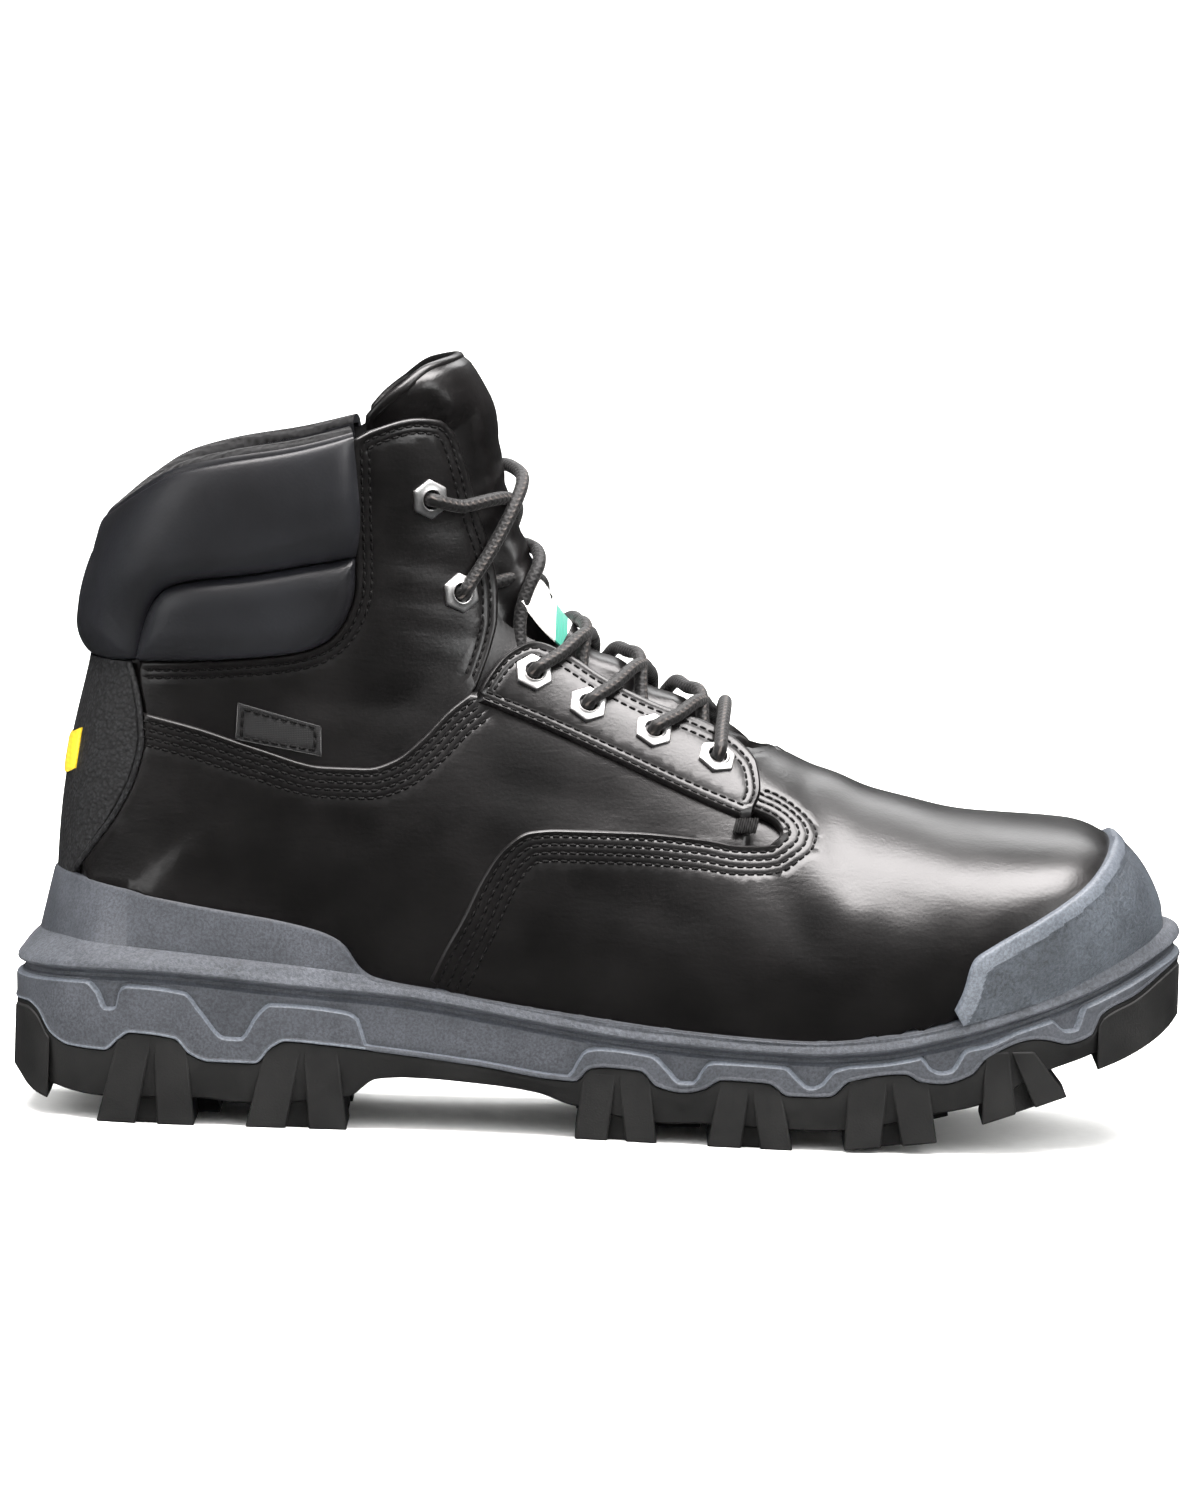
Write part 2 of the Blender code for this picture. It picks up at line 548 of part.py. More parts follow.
def above_ledge(t, add):
    """Share of a section where it rises clear of the ledge."""
    foot_x, foot_z, _, top_z = section(t)
    return (level(LEDGE_TOP, foot_x + 3) + add - foot_z) / (top_z - foot_z)


def make_vamp(material, throat):
    """The vamp, from the cap's rear edge to its stitched seam over the quarters."""
    rows, columns = 5, 15
    line = resample(side_points(VAMP_SEAM), columns + 1, close_at_end)
    seam_t, seam_h = locate(line[:, 0], line[:, 1])
    seam_t[-1], seam_h[-1] = throat[0][0] - 0.02, 1.0
    edge_t, edge_h = locate(*side_points(CAP_EDGE).T)
    edge = graph(edge_h, edge_t)
    low = above_ledge(seam_t, 2 * FIT)
    share = np.clip((seam_h - low) / (1 - low), 0, 1)
    h = np.repeat(seam_h[None, :], rows + 1, axis=0)
    t = np.zeros_like(h)
    for i in range(rows + 1):
        for _ in range(4):
            start = smooth(edge, h[i]) + 0.13
            t[i] = start + (seam_t - start) * i / rows
            low = above_ledge(t[i], 2 * FIT)
            h[i] = low + (1 - low) * share
    wrapped("vamp", t, h, np.full_like(t, SEAT + FACET_ROOM), np.full_like(t, SEAT + OVERLAY * 1.5),
            lambda i, j: j == columns, material)


def make_heel_panel(material):
    """The outside counter panel around the back of the heel."""
    edge = side_points(HEEL_EDGE)
    rows = 7
    line = resample(edge, rows + 1)
    edge_t, edge_h = locate(line[:, 0], line[:, 1])
    low_t = back_section(edge[0, 1] + 1.0)
    high_t = back_section(edge[-1, 1])
    t = np.zeros((rows + 1, 6))
    h = np.zeros_like(t)
    for i in range(rows + 1):
        centre = low_t + (high_t - low_t) * i / rows
        for j in range(6):
            share = 1 - math.cos(math.pi / 2 * j / 5)
            t[i, j] = centre + (edge_t[i] - centre) * share
            h[i, j] = edge_h[i] * share
    wrapped("heel_panel", t, h, np.full_like(t, SEAT), np.full_like(t, SEAT + OVERLAY),
            lambda i, j: j == 0, material)


def back_section(z):
    """Section whose foot lies at height z on the back of the heel."""
    ts = np.linspace(HEEL_SECTION, LAST_SECTION, 1201)
    return float(ts[np.argmax(section(ts)[1] >= z)])


def make_collar(material):
    """The padded collar: a roll along the rim and a lower pad, parted by a sewn groove."""
    seam, rim = side_points(PAD_SEAM), side_points(RIM)
    rim = rim[rim[:, 0] < seam[-1, 0] - 1.0]
    seam[0, 1] += 1.2
    seam[1, 1] += 0.8
    grid, t, h = between(seam, rim, COLLAR_ROWS, COLLAR_COLUMNS, close_at_start)
    t[0] = np.linspace(back_section(seam[0, 1]), back_section(rim[0, 1]), COLLAR_COLUMNS + 1)
    h[0] = 0.0
    flat = grid.reshape(-1, 2)
    edge_gap = np.minimum(distance(flat, seam), distance(flat, rim) + 4.0)
    crown = np.sqrt(1 - (1 - np.clip(edge_gap / 9.0, 0, 1)) ** 2)
    groove = np.exp(-(distance(flat, side_points(PAD_GROOVE)) / 3.0) ** 2)
    swell = (COLLAR_PAD * crown * (1 - 0.65 * groove) + 1.0).reshape(t.shape)
    wrapped("collar_pad", t, h, np.full_like(t, SEAT), SEAT + swell, lambda i, j: i == 0, material)


def make_tongue(material, throat):
    """The padded tongue, under the throat edges and free above them."""
    rows, columns = 15, 7
    line_t, line_h = locate(*side_points(TONGUE_LINE).T)
    line_h[-1] = 1.0
    crest = graph(line_h, line_t)
    root = throat[0][0] + 0.25
    h = np.zeros((rows + 1, columns + 1))
    t = np.zeros_like(h)
    low_edge = crest[0][0]
    for i in range(rows + 1):
        for j in range(columns + 1):
            height = low_edge + (1 - low_edge) * (0.5 - 0.5 * math.cos(math.pi * j / columns))
            h[i, j] = height
            t[i, j] = root + (smooth(crest, height) - root) * i / rows
    edge = smooth(throat, t) + 0.02
    free = np.clip((h - edge) / 0.045, 0, 1)
    free = free * free * (3 - 2 * free)
    above = np.clip((t - smooth_rim(h) - 0.15) / 0.3, 0, 1)
    free = np.maximum(free, above)
    outer = -(UPPER_WALL + SEAT) * (1 - free) - 2 * FIT * free
    side_round = np.clip((h - low_edge) / (1 - low_edge) / 0.35, 0, 1)
    thick = TONGUE_LOW + (TONGUE_TOP - TONGUE_LOW) * np.clip((t - 9.0) / 7.0, 0, 1)
    thick = thick * (0.45 + 0.55 * np.sqrt(side_round * (2 - side_round)))
    last = columns
    wrapped("tongue", t, h, outer - thick, outer, lambda i, j: j == last, material)


def smooth_rim(h):
    """Section of the rim at a share h of the section."""
    rim_t, rim_h = locate(*side_points(RIM).T)
    return smooth(graph(rim_h, rim_t), h)


def closed_loop(lateral, medial):
    """One ring of points: the lateral side from heel to toe, then the medial side back."""
    return np.concatenate([lateral, medial[-2:0:-1]])


def inset(loop, amount):
    """A plan loop moved inwards, or outwards where the amount is negative."""
    flat = loop[:, :2]
    ahead, behind = np.roll(flat, -1, axis=0), np.roll(flat, 1, axis=0)
    way = ahead - behind
    way /= np.linalg.norm(way, axis=1, keepdims=True)
    moved = loop.copy()
    moved[:, 0] -= way[:, 1] * amount
    moved[:, 1] += way[:, 0] * amount
    return moved


def sole_stations(count):
    """Shares of the length where the sole has a station: round ends, and both ends of each lug."""
    found = list((1 - np.cos(np.pi * np.linspace(0, 1, count + 1))) / 2) + [0.9996]
    for rear, front, _ in LUGS[1:-1]:
        found += [rear, rear + CLIMB_RUN, front - CLIMB_RUN, front]
    kept = [0.0]
    for share in sorted(found):
        if share - kept[-1] > CLIMB_RUN * 0.45 or abs(share - 0.5) > 0.5 - HEEL_END / 2:
            kept.append(share)
    return np.array(sorted(set(kept)))


SOLE_SPREAD = sole_stations(20)
FOOTBED_SPREAD = (1 - np.cos(np.pi * np.linspace(0, 1, 23))) / 2


def sole_loop(amount):
    """The sole's outline, moved inwards by an amount."""
    xs = LENGTH * SOLE_SPREAD
    sides = []
    for side in (LATERAL, MEDIAL):
        y = side * plan_width(SOLE_PLAN, xs, side, 0.0, LENGTH) + drift(xs)
        sides.append(np.stack([xs, y, np.zeros_like(xs)], axis=-1))
    return inset(closed_loop(*sides), amount)


def upper_loop(table, add, amount, spread=SOLE_SPREAD):
    """The upper's outline along a sole line raised by add, moved inwards by an amount."""
    back = heel_back(table, add)
    front = toe_front(table, add)
    xs = back + (front - back) * spread
    zs = level(table, xs) + add
    t, h = locate(xs, zs)
    sides = []
    for side in (LATERAL, MEDIAL):
        points = surface(t, h, side)
        points[:, 0] = xs
        points[0, 1] = drift(xs[0])
        points[-1, 1] = drift(xs[-1])
        sides.append(points)
    return inset(closed_loop(*sides), amount)


def at_level(loop, heights):
    """The loop with new heights."""
    moved = loop.copy()
    moved[:, 2] = heights
    return moved


def loop_solid(name, loops, material):
    """A solid of rings joined in turn, its first and last ring closed across the boot."""
    size = len(loops[0])
    vertices = np.concatenate(loops)
    faces = []
    for k in range(len(loops) - 1):
        for i in range(size):
            a, b = k * size + i, k * size + (i + 1) % size
            faces.append((a, b, b + size, a + size))
    for k, turn in ((0, True), (len(loops) - 1, False)):
        for i in range(size // 2):
            ring = [k * size + j % size for j in (i, i + 1, size - i - 1, size - i)]
            ring = list(dict.fromkeys(ring))
            faces.append(tuple(reversed(ring)) if turn else tuple(ring))
    return add_object(name, vertices, faces, material, sharp=28.0)


def climb(x):
    """How far the rubber climbs over the midsole's foot, above each lug."""
    share = np.asarray(x, float) / LENGTH
    rise = np.zeros_like(share)
    for rear, front, height in LUGS:
        up = np.clip((share - rear) / CLIMB_RUN, 0, 1)
        down = np.clip((front - share) / CLIMB_RUN, 0, 1)
        rise = np.maximum(rise, height * HEEL_HEIGHT * np.minimum(up, down))
    return rise


def make_midsole(material):
    """The moulded midsole: a cup around the upper's foot with a sloped ledge and a heel wrap."""
    wrap = WRAP_TOP + [(x, z) for x, z in LEDGE_TOP if x > WRAP_TOP[-1][0] + 0.01]
    seat_line, middle_line = ([(x, z * share + float(smooth(FLOOR, x)) * (1 - share)) for x, z in wrap]
                              for share in (0.16, 0.5))
    foot = upper_loop(FLOOR, 0.2, -SEAT - FACET_ROOM)
    seat = upper_loop(seat_line, 0.0, -SEAT - 2 * FACET_ROOM)
    middle = upper_loop(middle_line, 0.0, -SEAT)
    rim = upper_loop(wrap, 0.0, -SEAT - FACET_ROOM)
    rim_x = rim[:, 0]
    outer_rim = inset(rim, -WRAP_WALL * 0.75)
    shelf = inset(upper_loop(LEDGE_TOP, 0.0, -SEAT), -WRAP_WALL)
    edge = sole_loop(0.6)
    xs = edge[:, 0]
    ledge_edge = level(LEDGE_EDGE, xs)
    hem = level(TAB_FOOT, xs)
    loops = [
        at_level(foot, level(FLOOR, foot[:, 0]) - FIT),
        at_level(seat, level(seat_line, seat[:, 0])),
        at_level(middle, level(middle_line, middle[:, 0])),
        at_level(rim, level(wrap, rim_x)),
        at_level(outer_rim, level(wrap, rim_x) - 1.0),
        at_level(shelf, np.minimum(level(LEDGE_TOP, shelf[:, 0]), level(wrap, shelf[:, 0]) - 1.6)),
        at_level(edge, ledge_edge + 1.6),
        at_level(sole_loop(0.3), ledge_edge + 0.2),
        at_level(sole_loop(2.6), ledge_edge - 1.4),
        at_level(sole_loop(0.4 + TAB_STEP), ledge_edge - 3.4),
        at_level(sole_loop(0.4 + TAB_STEP), np.clip(level(TAB_TOP, xs), hem + climb(xs) + 1.5, ledge_edge - 3.9)),
        at_level(sole_loop(0.4), np.clip(level(TAB_TOP, xs) - TAB_STEP, hem + climb(xs) + 0.7, ledge_edge - 4.7)),
        at_level(sole_loop(0.4), hem + climb(xs)),
        at_level(sole_loop(5.0), hem + climb(xs)),
        at_level(sole_loop(9.0), hem),
    ]
    loop_solid("midsole", loops, material)


def lug_block(name, rear, front, inner, outer, top_gap, side):
    """A tread block between two plan lines, wider at the ground than at its root."""
    stations = np.linspace(0, 1, 4)
    vertices = []
    for grow, root in ((0.0, False), (LUG_TAPER, True)):
        xs = (rear + grow + (front - rear - 2 * grow) * stations) * LENGTH
        zs = level(WEB, xs) + top_gap if root else level(GROUND, xs)
        for reach in (outer, inner):
            for x, z in zip(xs, zs):
                vertices.append((x, side * reach(x, side) + drift(x), z))
    n = len(stations)
    faces = []
    for i in range(n - 1):
        faces.append((i, i + 1, n + i + 1, n + i))
        faces.append((2 * n + i, 3 * n + i, 3 * n + i + 1, 2 * n + i + 1))
        faces.append((i, 2 * n + i, 2 * n + i + 1, i + 1))
        faces.append((n + i, n + i + 1, 3 * n + i + 1, 3 * n + i))
    faces.append((0, n, 3 * n, 2 * n))
    faces.append((n - 1, 3 * n - 1, 4 * n - 1, 2 * n - 1))
    item = add_object(name, np.array(vertices), faces, None, sharp=28.0)
    item.hide_render = True
    item.display_type = "WIRE"
    return item


def make_outsole(material):
    """The rubber outsole: a shell under the midsole with side lugs and centre lugs."""
    xs = sole_loop(0.4)[:, 0]
    hem = level(TAB_FOOT, xs)
    web = level(WEB, xs)
    loops = [
        at_level(sole_loop(9.0), hem - 1.5 * FIT),
        at_level(sole_loop(5.0), hem + climb(xs) - 1.5 * FIT),
        at_level(sole_loop(0.4), hem + climb(xs) - 1.5 * FIT),
        at_level(sole_loop(0.0), hem + climb(xs) - 1.4),
        at_level(sole_loop(0.6), np.minimum(web + 0.6, hem - 1.2)),
        at_level(sole_loop(1.6), web - 0.4),
    ]
    outsole = loop_solid("outsole", loops, material)

    def outer(x, side):
        return plan_width(SOLE_PLAN, x, side, -6.0, LENGTH + 5.0) + LUG_PROUD - 0.4

    def inner(x, side):
        return np.maximum(outer(x, side) - SIDE_LUG_REACH, CENTRE_LUG_REACH + 4.0)

    def centre(x, side):
        return CENTRE_LUG_REACH + 0.0 * x

    def middle(x, side):
        return -CENTRE_LUG_REACH + 0.0 * x

    blocks = []
    for k, (rear, front, _) in enumerate(LUGS):
        for side in (LATERAL, MEDIAL):
            blocks.append(lug_block(f"lug_{k}_{side}", max(rear, 0.012), min(front, 0.977), inner, outer, 1.0, side))
    for k in (1, 3, 4, 5, 6):
        rear, front, _ = LUGS[k]
        if k + 1 < len(LUGS):
            shift = (LUGS[k + 1][0] - rear) / 2
            blocks.append(lug_block(f"core_{k}", rear + shift, front + shift - 0.012, middle, centre, 1.0, MEDIAL))
    for block in blocks:
        union = outsole.modifiers.new(block.name, "BOOLEAN")
        union.operation = "UNION"
        union.solver = "EXACT"
        union.object = block
    return outsole


def make_insole(material):
    """The footbed inside the upper's foot."""
    reach = UPPER_WALL + FIT + 4 * FACET_ROOM
    low = upper_loop(FLOOR, 0.6, reach, FOOTBED_SPREAD)
    high = upper_loop(FLOOR, INSOLE, reach + 0.2, FOOTBED_SPREAD)
    low_z = level(FLOOR, low[:, 0])
    high_z = level(FLOOR, high[:, 0]) + INSOLE
    loops = [
        at_level(low, low_z),
        at_level(high, high_z),
        at_level(inset(high, 8.0), high_z - 0.8),
    ]
    loop_solid("insole", loops[:3], material)


def make_quarters(material, eyestay_material):
    """The quarters and the lower eyestays on both sides."""
    seam = side_points(VAMP_SEAM)
    upto = seam[seam[:, 0] <= 0.625 * LENGTH][:10]
    wrap = WRAP_TOP + [(x, z) for x, z in LEDGE_TOP if x > WRAP_TOP[-1][0] + 0.01]
    heel = side_points(HEEL_EDGE)[:-2]
    xs = np.linspace(heel[0, 0] + 1.5, upto[0, 0] - 1.2, 12)
    foot = np.stack([xs, level(wrap, xs) + CAP_LIFT + SEAT], axis=-1)
    front = upto + np.array([-0.9, 0.9])
    front[0] = (upto[0, 0] - 0.9, foot[-1, 1] + 0.6)
    eyestay_foot = side_points(EYESTAY_FOOT)
    top = side_points(QUARTER_TOP)
    back = heel + np.array([1.0, 0.0])
    outline = np.concatenate([
        foot, resample(front, 14)[1:], resample(eyestay_foot[::-1] - np.array([0.0, 0.5]), 9),
        resample(top[::-1], 14), resample(back[::-1], 8)[1:-1]])
    stay = np.concatenate([resample(eyestay_foot, 10), resample(side_points(EYESTAY_TOP)[::-1], 24)[1:-1]])
    for side, word in ((LATERAL, "lateral"), (MEDIAL, "medial")):
        panel(f"quarter_{word}", outline, side, SEAT, SEAT + OVERLAY, 9.0, material)
        panel(f"eyestay_{word}", stay, side, SEAT, SEAT + OVERLAY * 1.15, 7.0, eyestay_material)


def frame_on(x, z, side, off):
    """Matrix of a small fitting that lies on the last: its Z axis is the outward normal."""
    t, h = locate(np.array([x]), np.array([z]))
    point = Vector(skin(t, h, side, np.array([off]))[0])
    normal = Vector(outward(t, h, side)[0])
    ahead = Vector((1, 0, 0)) - normal * normal.x
    ahead.normalize()
    across = normal.cross(ahead)
    turn = Matrix((ahead, across, normal)).transposed().to_4x4()
    return Matrix.Translation(point) @ turn


def make_eyelets(material):
    """Six hexagonal eyelets down each side of the throat."""
    for k, (x, z) in enumerate(side_points(EYELETS)):
        for side, word in ((LATERAL, "lateral"), (MEDIAL, "medial")):
            base = SEAT + OVERLAY * 1.15 + 0.75 if k < 4 else 0.75
            place = frame_on(x, z, side, base)
            corner = EYELET_FLATS / math.sqrt(3)
            profile = ((corner, 0.0), (corner, EYELET_THICK * 0.6), (corner * 0.86, EYELET_THICK),
                       (EYELET_HOLE / 2, EYELET_THICK), (EYELET_HOLE / 2, 0.0))
            vertices, faces = [], []
            for radius, height in profile:
                for i in range(6):
                    turn = math.pi * i / 3
                    spot = Vector((radius * math.cos(turn), radius * math.sin(turn), height))
                    vertices.append(tuple(place @ spot))
            for a in range(5):
                b = (a + 1) % 5
                for i in range(6):
                    j = (i + 1) % 6
                    faces.append((a * 6 + i, a * 6 + j, b * 6 + j, b * 6 + i))
            add_object(f"eyelet_{word}_{k + 1}", np.array(vertices), faces, material, sharp=25.0)


def tube(name, route, radius, sides, material):
    """A closed round tube along a route."""
    route = [Vector(p) for p in route]
    vertices, faces = [], []
    up = Vector((0, 0, 1))
    for i, point in enumerate(route):
        ahead = (route[min(i + 1, len(route) - 1)] - route[max(i - 1, 0)]).normalized()
        across = ahead.cross(up).normalized()
        above = across.cross(ahead)
        for k in range(sides):
            turn = 2 * math.pi * k / sides
            vertices.append(tuple(point + (across * math.cos(turn) + above * math.sin(turn)) * radius))
    for i in range(len(route) - 1):
        for k in range(sides):
            n = (k + 1) % sides
            faces.append((i * sides + k, i * sides + n, (i + 1) * sides + n, (i + 1) * sides + k))
    faces.append(tuple(range(sides)))
    faces.append(tuple(range((len(route) - 1) * sides, len(route) * sides)))
    return add_object(name, np.array(vertices), faces, material, sharp=50.0)


def lace_route(start, end, start_side, stop_share):
    """A strand from one eyelet over the tongue towards the next eyelet on the other side."""
    start_t, start_h = locate(np.array([start[0]]), np.array([start[1]]))
    end_t, end_h = locate(np.array([end[0]]), np.array([end[1]]))
    points = []
    for k in range(7):
        share = stop_share * k / 6
        across = -(1 - start_h[0]) * (1 - share) + (1 - end_h[0]) * share
        t = start_t[0] + (end_t[0] - start_t[0]) * share
        side = start_side if across < 0 else -start_side
        h = 1 - abs(across)
        lift = LACE / 2 + 3 * FIT + (OVERLAY + EYELET_THICK + 2.0) * (1 - share) ** 2 + 1.4 * share
        if 0.999 < h:
            point = (skin(np.array([t]), np.array([1.0]), LATERAL, np.array([lift]))[0]
                     + skin(np.array([t]), np.array([1.0]), MEDIAL, np.array([lift]))[0]) / 2
        else:
            point = skin(np.array([t]), np.array([h]), side, np.array([lift]))[0]
        points.append(point)
    return points


def make_laces(material):
    """Five lace crossings over the tongue, each two strands joined where they cross."""
    spots = side_points(EYELETS)
    for k in range(len(spots) - 1):
        first = tube(f"lace_crossing_{k + 1}", lace_route(spots[k], spots[k + 1], LATERAL, 0.78),
                     LACE / 2, 6, material)
        second = tube(f"strand_{k + 1}", lace_route(spots[k], spots[k + 1], MEDIAL, 0.78),
                      LACE / 2, 6, material)
        second.hide_render = True
        second.display_type = "WIRE"
        union = first.modifiers.new("cross", "BOOLEAN")
        union.operation = "UNION"
        union.solver = "EXACT"
        union.object = second


def make_tags(tag_material, tab_material):
    """The small plain tag on the outer ankle and the plain patch on the heel panel."""
    outline = side_points(SIDE_TAG)
    panel("side_tag", resample(np.concatenate([outline, outline[:1]]), 13)[:-1], LATERAL,
          FIT + FACET_ROOM, FIT + FACET_ROOM + TAG_THICK, 6.0, tag_material)
    low_t, high_t = (back_section(HEEL_HEIGHT + share * UPPER_RISE) for share in (HEEL_TAB_LOW, HEEL_TAB_HIGH))
    t = np.repeat(np.linspace(low_t, high_t, 4)[:, None], 4, axis=1)
    h = np.repeat(np.linspace(0, HEEL_TAB_REACH, 4)[None, :], 4, axis=0)
    off = SEAT + OVERLAY + SEAT
    wrapped("heel_tab", t, h, np.full_like(t, off), np.full_like(t, off + TAG_THICK * 0.8),
            lambda i, j: j == 0, tab_material)


def centre_all():
    """Moves the boot so that its origin is at the bottom centre of its box."""
    low = Vector((math.inf,) * 3)
    high = -low
    bpy.context.view_layer.update()
    shapes = bpy.context.evaluated_depsgraph_get()
    for item in bpy.data.objects:
        if item.hide_render:
            continue
        for corner in item.evaluated_get(shapes).bound_box:
            low = Vector(map(min, low, corner))
            high = Vector(map(max, high, corner))
    shift = Vector((-(low.x + high.x) / 2, -(low.y + high.y) / 2, -low.z))
    for item in bpy.data.objects:
        item.data.transform(Matrix.Translation(shift))
    print("box", [round(v * 1000, 2) for v in (high - low)], "shift", [round(v * 1000, 3) for v in shift])


def main():
    clear_scene()
    leather = finish_material("oiled_black_leather", (0.018, 0.016, 0.015), 0.45)
    collar = finish_material("charcoal_synthetic_leather", (0.030, 0.032, 0.037), 0.5)
    counter = finish_material("black_textured_synthetic", (0.012, 0.012, 0.013), 0.65)
    foam = finish_material("grey_polyurethane", (0.105, 0.110, 0.120), 0.7)
    rubber = finish_material("black_rubber", (0.012, 0.012, 0.012), 0.75)
    cap = finish_material("grey_grained_rubber", (0.085, 0.088, 0.095), 0.6)
    lining = finish_material("footbed_cloth", (0.03, 0.03, 0.03), 0.9)
    metal = finish_material("nickel_plated_brass", (0.75, 0.76, 0.78), 0.25, 1.0)
    cord = finish_material("waxed_polyester_lace", (0.02, 0.018, 0.016), 0.7)
    webbing = finish_material("black_webbing", (0.01, 0.01, 0.01), 0.8)
    yellow = finish_material("yellow_reflective_cloth", (0.55, 0.42, 0.02), 0.5)
    throat, _ = make_upper(leather)
    make_cap(cap)
    make_vamp(leather, throat)
    make_heel_panel(counter)
    make_collar(collar)
    make_tongue(leather, throat)
    make_quarters(leather, leather)
    make_eyelets(metal)
    make_laces(cord)
    make_tags(webbing, yellow)
    make_insole(lining)
    make_midsole(foam)
    make_outsole(rubber)
    centre_all()


main()
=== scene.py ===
# %% [markdown]
# # A six-inch lace-up safety boot
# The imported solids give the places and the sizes. This script dresses them: leather panels with
# rolled edges and real stitches, padded collar and tongue, a laced throat, a grained toe cap and
# a moulded sole. The photograph shows the right boot from its outer side.

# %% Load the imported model
import math

import bmesh
import bpy
import numpy as np
from mathutils import Matrix, Vector
from mathutils.geometry import delaunay_2d_cdt


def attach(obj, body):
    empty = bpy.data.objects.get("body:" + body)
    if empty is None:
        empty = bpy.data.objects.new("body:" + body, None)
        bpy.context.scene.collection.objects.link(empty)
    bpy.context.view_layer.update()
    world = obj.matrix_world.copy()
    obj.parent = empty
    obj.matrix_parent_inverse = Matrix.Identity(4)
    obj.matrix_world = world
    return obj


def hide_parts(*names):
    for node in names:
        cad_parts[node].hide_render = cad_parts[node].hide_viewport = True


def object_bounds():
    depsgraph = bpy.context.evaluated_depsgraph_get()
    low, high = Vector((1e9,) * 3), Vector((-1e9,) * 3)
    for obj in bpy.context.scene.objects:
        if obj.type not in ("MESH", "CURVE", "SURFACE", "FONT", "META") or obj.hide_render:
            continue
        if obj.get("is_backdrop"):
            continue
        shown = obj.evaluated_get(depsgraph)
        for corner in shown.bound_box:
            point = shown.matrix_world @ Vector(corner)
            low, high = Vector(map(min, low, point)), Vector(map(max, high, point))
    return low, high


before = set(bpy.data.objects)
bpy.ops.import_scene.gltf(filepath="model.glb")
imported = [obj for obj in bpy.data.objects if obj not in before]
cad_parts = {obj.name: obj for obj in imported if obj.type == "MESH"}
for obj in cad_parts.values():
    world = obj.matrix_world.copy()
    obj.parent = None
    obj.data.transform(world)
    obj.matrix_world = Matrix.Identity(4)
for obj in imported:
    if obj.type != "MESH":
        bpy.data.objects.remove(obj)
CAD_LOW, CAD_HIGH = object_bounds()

print("packed nodes", len(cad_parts), "box", [round(v * 1000, 1) for v in CAD_HIGH - CAD_LOW])

# %% [markdown]
# ## The last
# A shoe is built over a last, a solid foot. The solids were cut from one function of such a last,
# and the same function is written here again, so that every dressed panel lies where its solid
# does. Its tables are shares of four named sizes.

# %% Named sizes in millimetres
LENGTH, BALL_WIDTH, HEEL_HEIGHT, UPPER_RISE = 311.0, 113.0, 36.2, 168.0
TOE_DRIFT = 5.0
LATERAL, MEDIAL = -1, 1
SIDES = ((LATERAL, "lateral"), (MEDIAL, "medial"))
LEATHER_SLOT = "oiled_black_leather"
SHIFT = np.array([CAD_LOW.x * 1000, 0.357, 0.0])

SECTIONS = [
    # sole, lift, front, top, lateral, medial, widest, low, high
    (0.9672, 0.0, 0.9722, 0.115, 0.470, 0.480, 0.40, 2.0, 2.4),
    (0.9550, 0.0, 0.9708, 0.142, 0.470, 0.480, 0.40, 2.0, 2.5),
    (0.9100, 0.0, 0.9540, 0.207, 0.475, 0.480, 0.38, 2.0, 2.5),
    (0.8215, 0.0, 0.9035, 0.268, 0.485, 0.475, 0.36, 2.0, 2.4),
    (0.7010, 0.0, 0.8040, 0.281, 0.492, 0.460, 0.32, 2.0, 2.2),
    (0.6330, 0.0, 0.7330, 0.309, 0.478, 0.442, 0.30, 2.0, 2.05),
    (0.5660, 0.0, 0.6590, 0.369, 0.447, 0.407, 0.28, 2.0, 1.95),
    (0.4950, 0.0, 0.5885, 0.442, 0.410, 0.372, 0.27, 2.0, 1.95),
    (0.4180, 0.0, 0.5240, 0.508, 0.382, 0.350, 0.27, 2.0, 1.95),
    (0.3280, 0.0, 0.4730, 0.556, 0.360, 0.332, 0.28, 2.0, 2.0),
    (0.2190, 0.0, 0.4420, 0.608, 0.342, 0.319, 0.30, 2.0, 2.0),
    (0.1160, 0.0, 0.4260, 0.665, 0.328, 0.310, 0.36, 2.1, 2.05),
    (0.0590, 0.0, 0.4190, 0.707, 0.322, 0.308, 0.41, 2.2, 2.1),
    (0.0373, 0.008, 0.4150, 0.740, 0.316, 0.305, 0.44, 2.2, 2.15),
    (0.0405, 0.225, 0.4093, 0.793, 0.303, 0.298, 0.46, 2.2, 2.2),
    (0.0482, 0.362, 0.4051, 0.826, 0.300, 0.297, 0.47, 2.2, 2.2),
    (0.0630, 0.505, 0.3997, 0.865, 0.305, 0.303, 0.48, 2.2, 2.2),
    (0.0691, 0.618, 0.3916, 0.907, 0.312, 0.311, 0.48, 2.2, 2.2),
    (0.0916, 0.868, 0.3650, 1.011, 0.322, 0.322, 0.48, 2.2, 2.2),
]
HEEL_SECTION, LAST_SECTION = 13, len(SECTIONS) - 1
FEATHER_PLAN = [(0.0, 0.301, 0.288), (0.150, 0.305, 0.288), (0.354, 0.305, 0.262), (0.482, 0.340, 0.290),
                (0.611, 0.420, 0.368), (0.723, 0.462, 0.428), (0.804, 0.462, 0.448), (1.0, 0.455, 0.462)]
SOLE_PLAN = [(0.0, 0.385, 0.366), (0.145, 0.388, 0.366), (0.354, 0.384, 0.335), (0.482, 0.416, 0.356),
             (0.611, 0.487, 0.428), (0.723, 0.522, 0.480), (0.804, 0.520, 0.498), (1.0, 0.508, 0.510)]
TOE_START, HEEL_END, ROUNDNESS = 0.755, 0.145, 2.25
FLOOR = [(0.0, 1.008), (0.161, 1.0), (0.306, 0.961), (0.418, 0.851), (0.547, 0.727), (0.669, 0.669),
         (0.759, 0.754), (0.842, 0.956), (0.916, 1.215), (0.974, 1.431), (1.0, 1.519)]
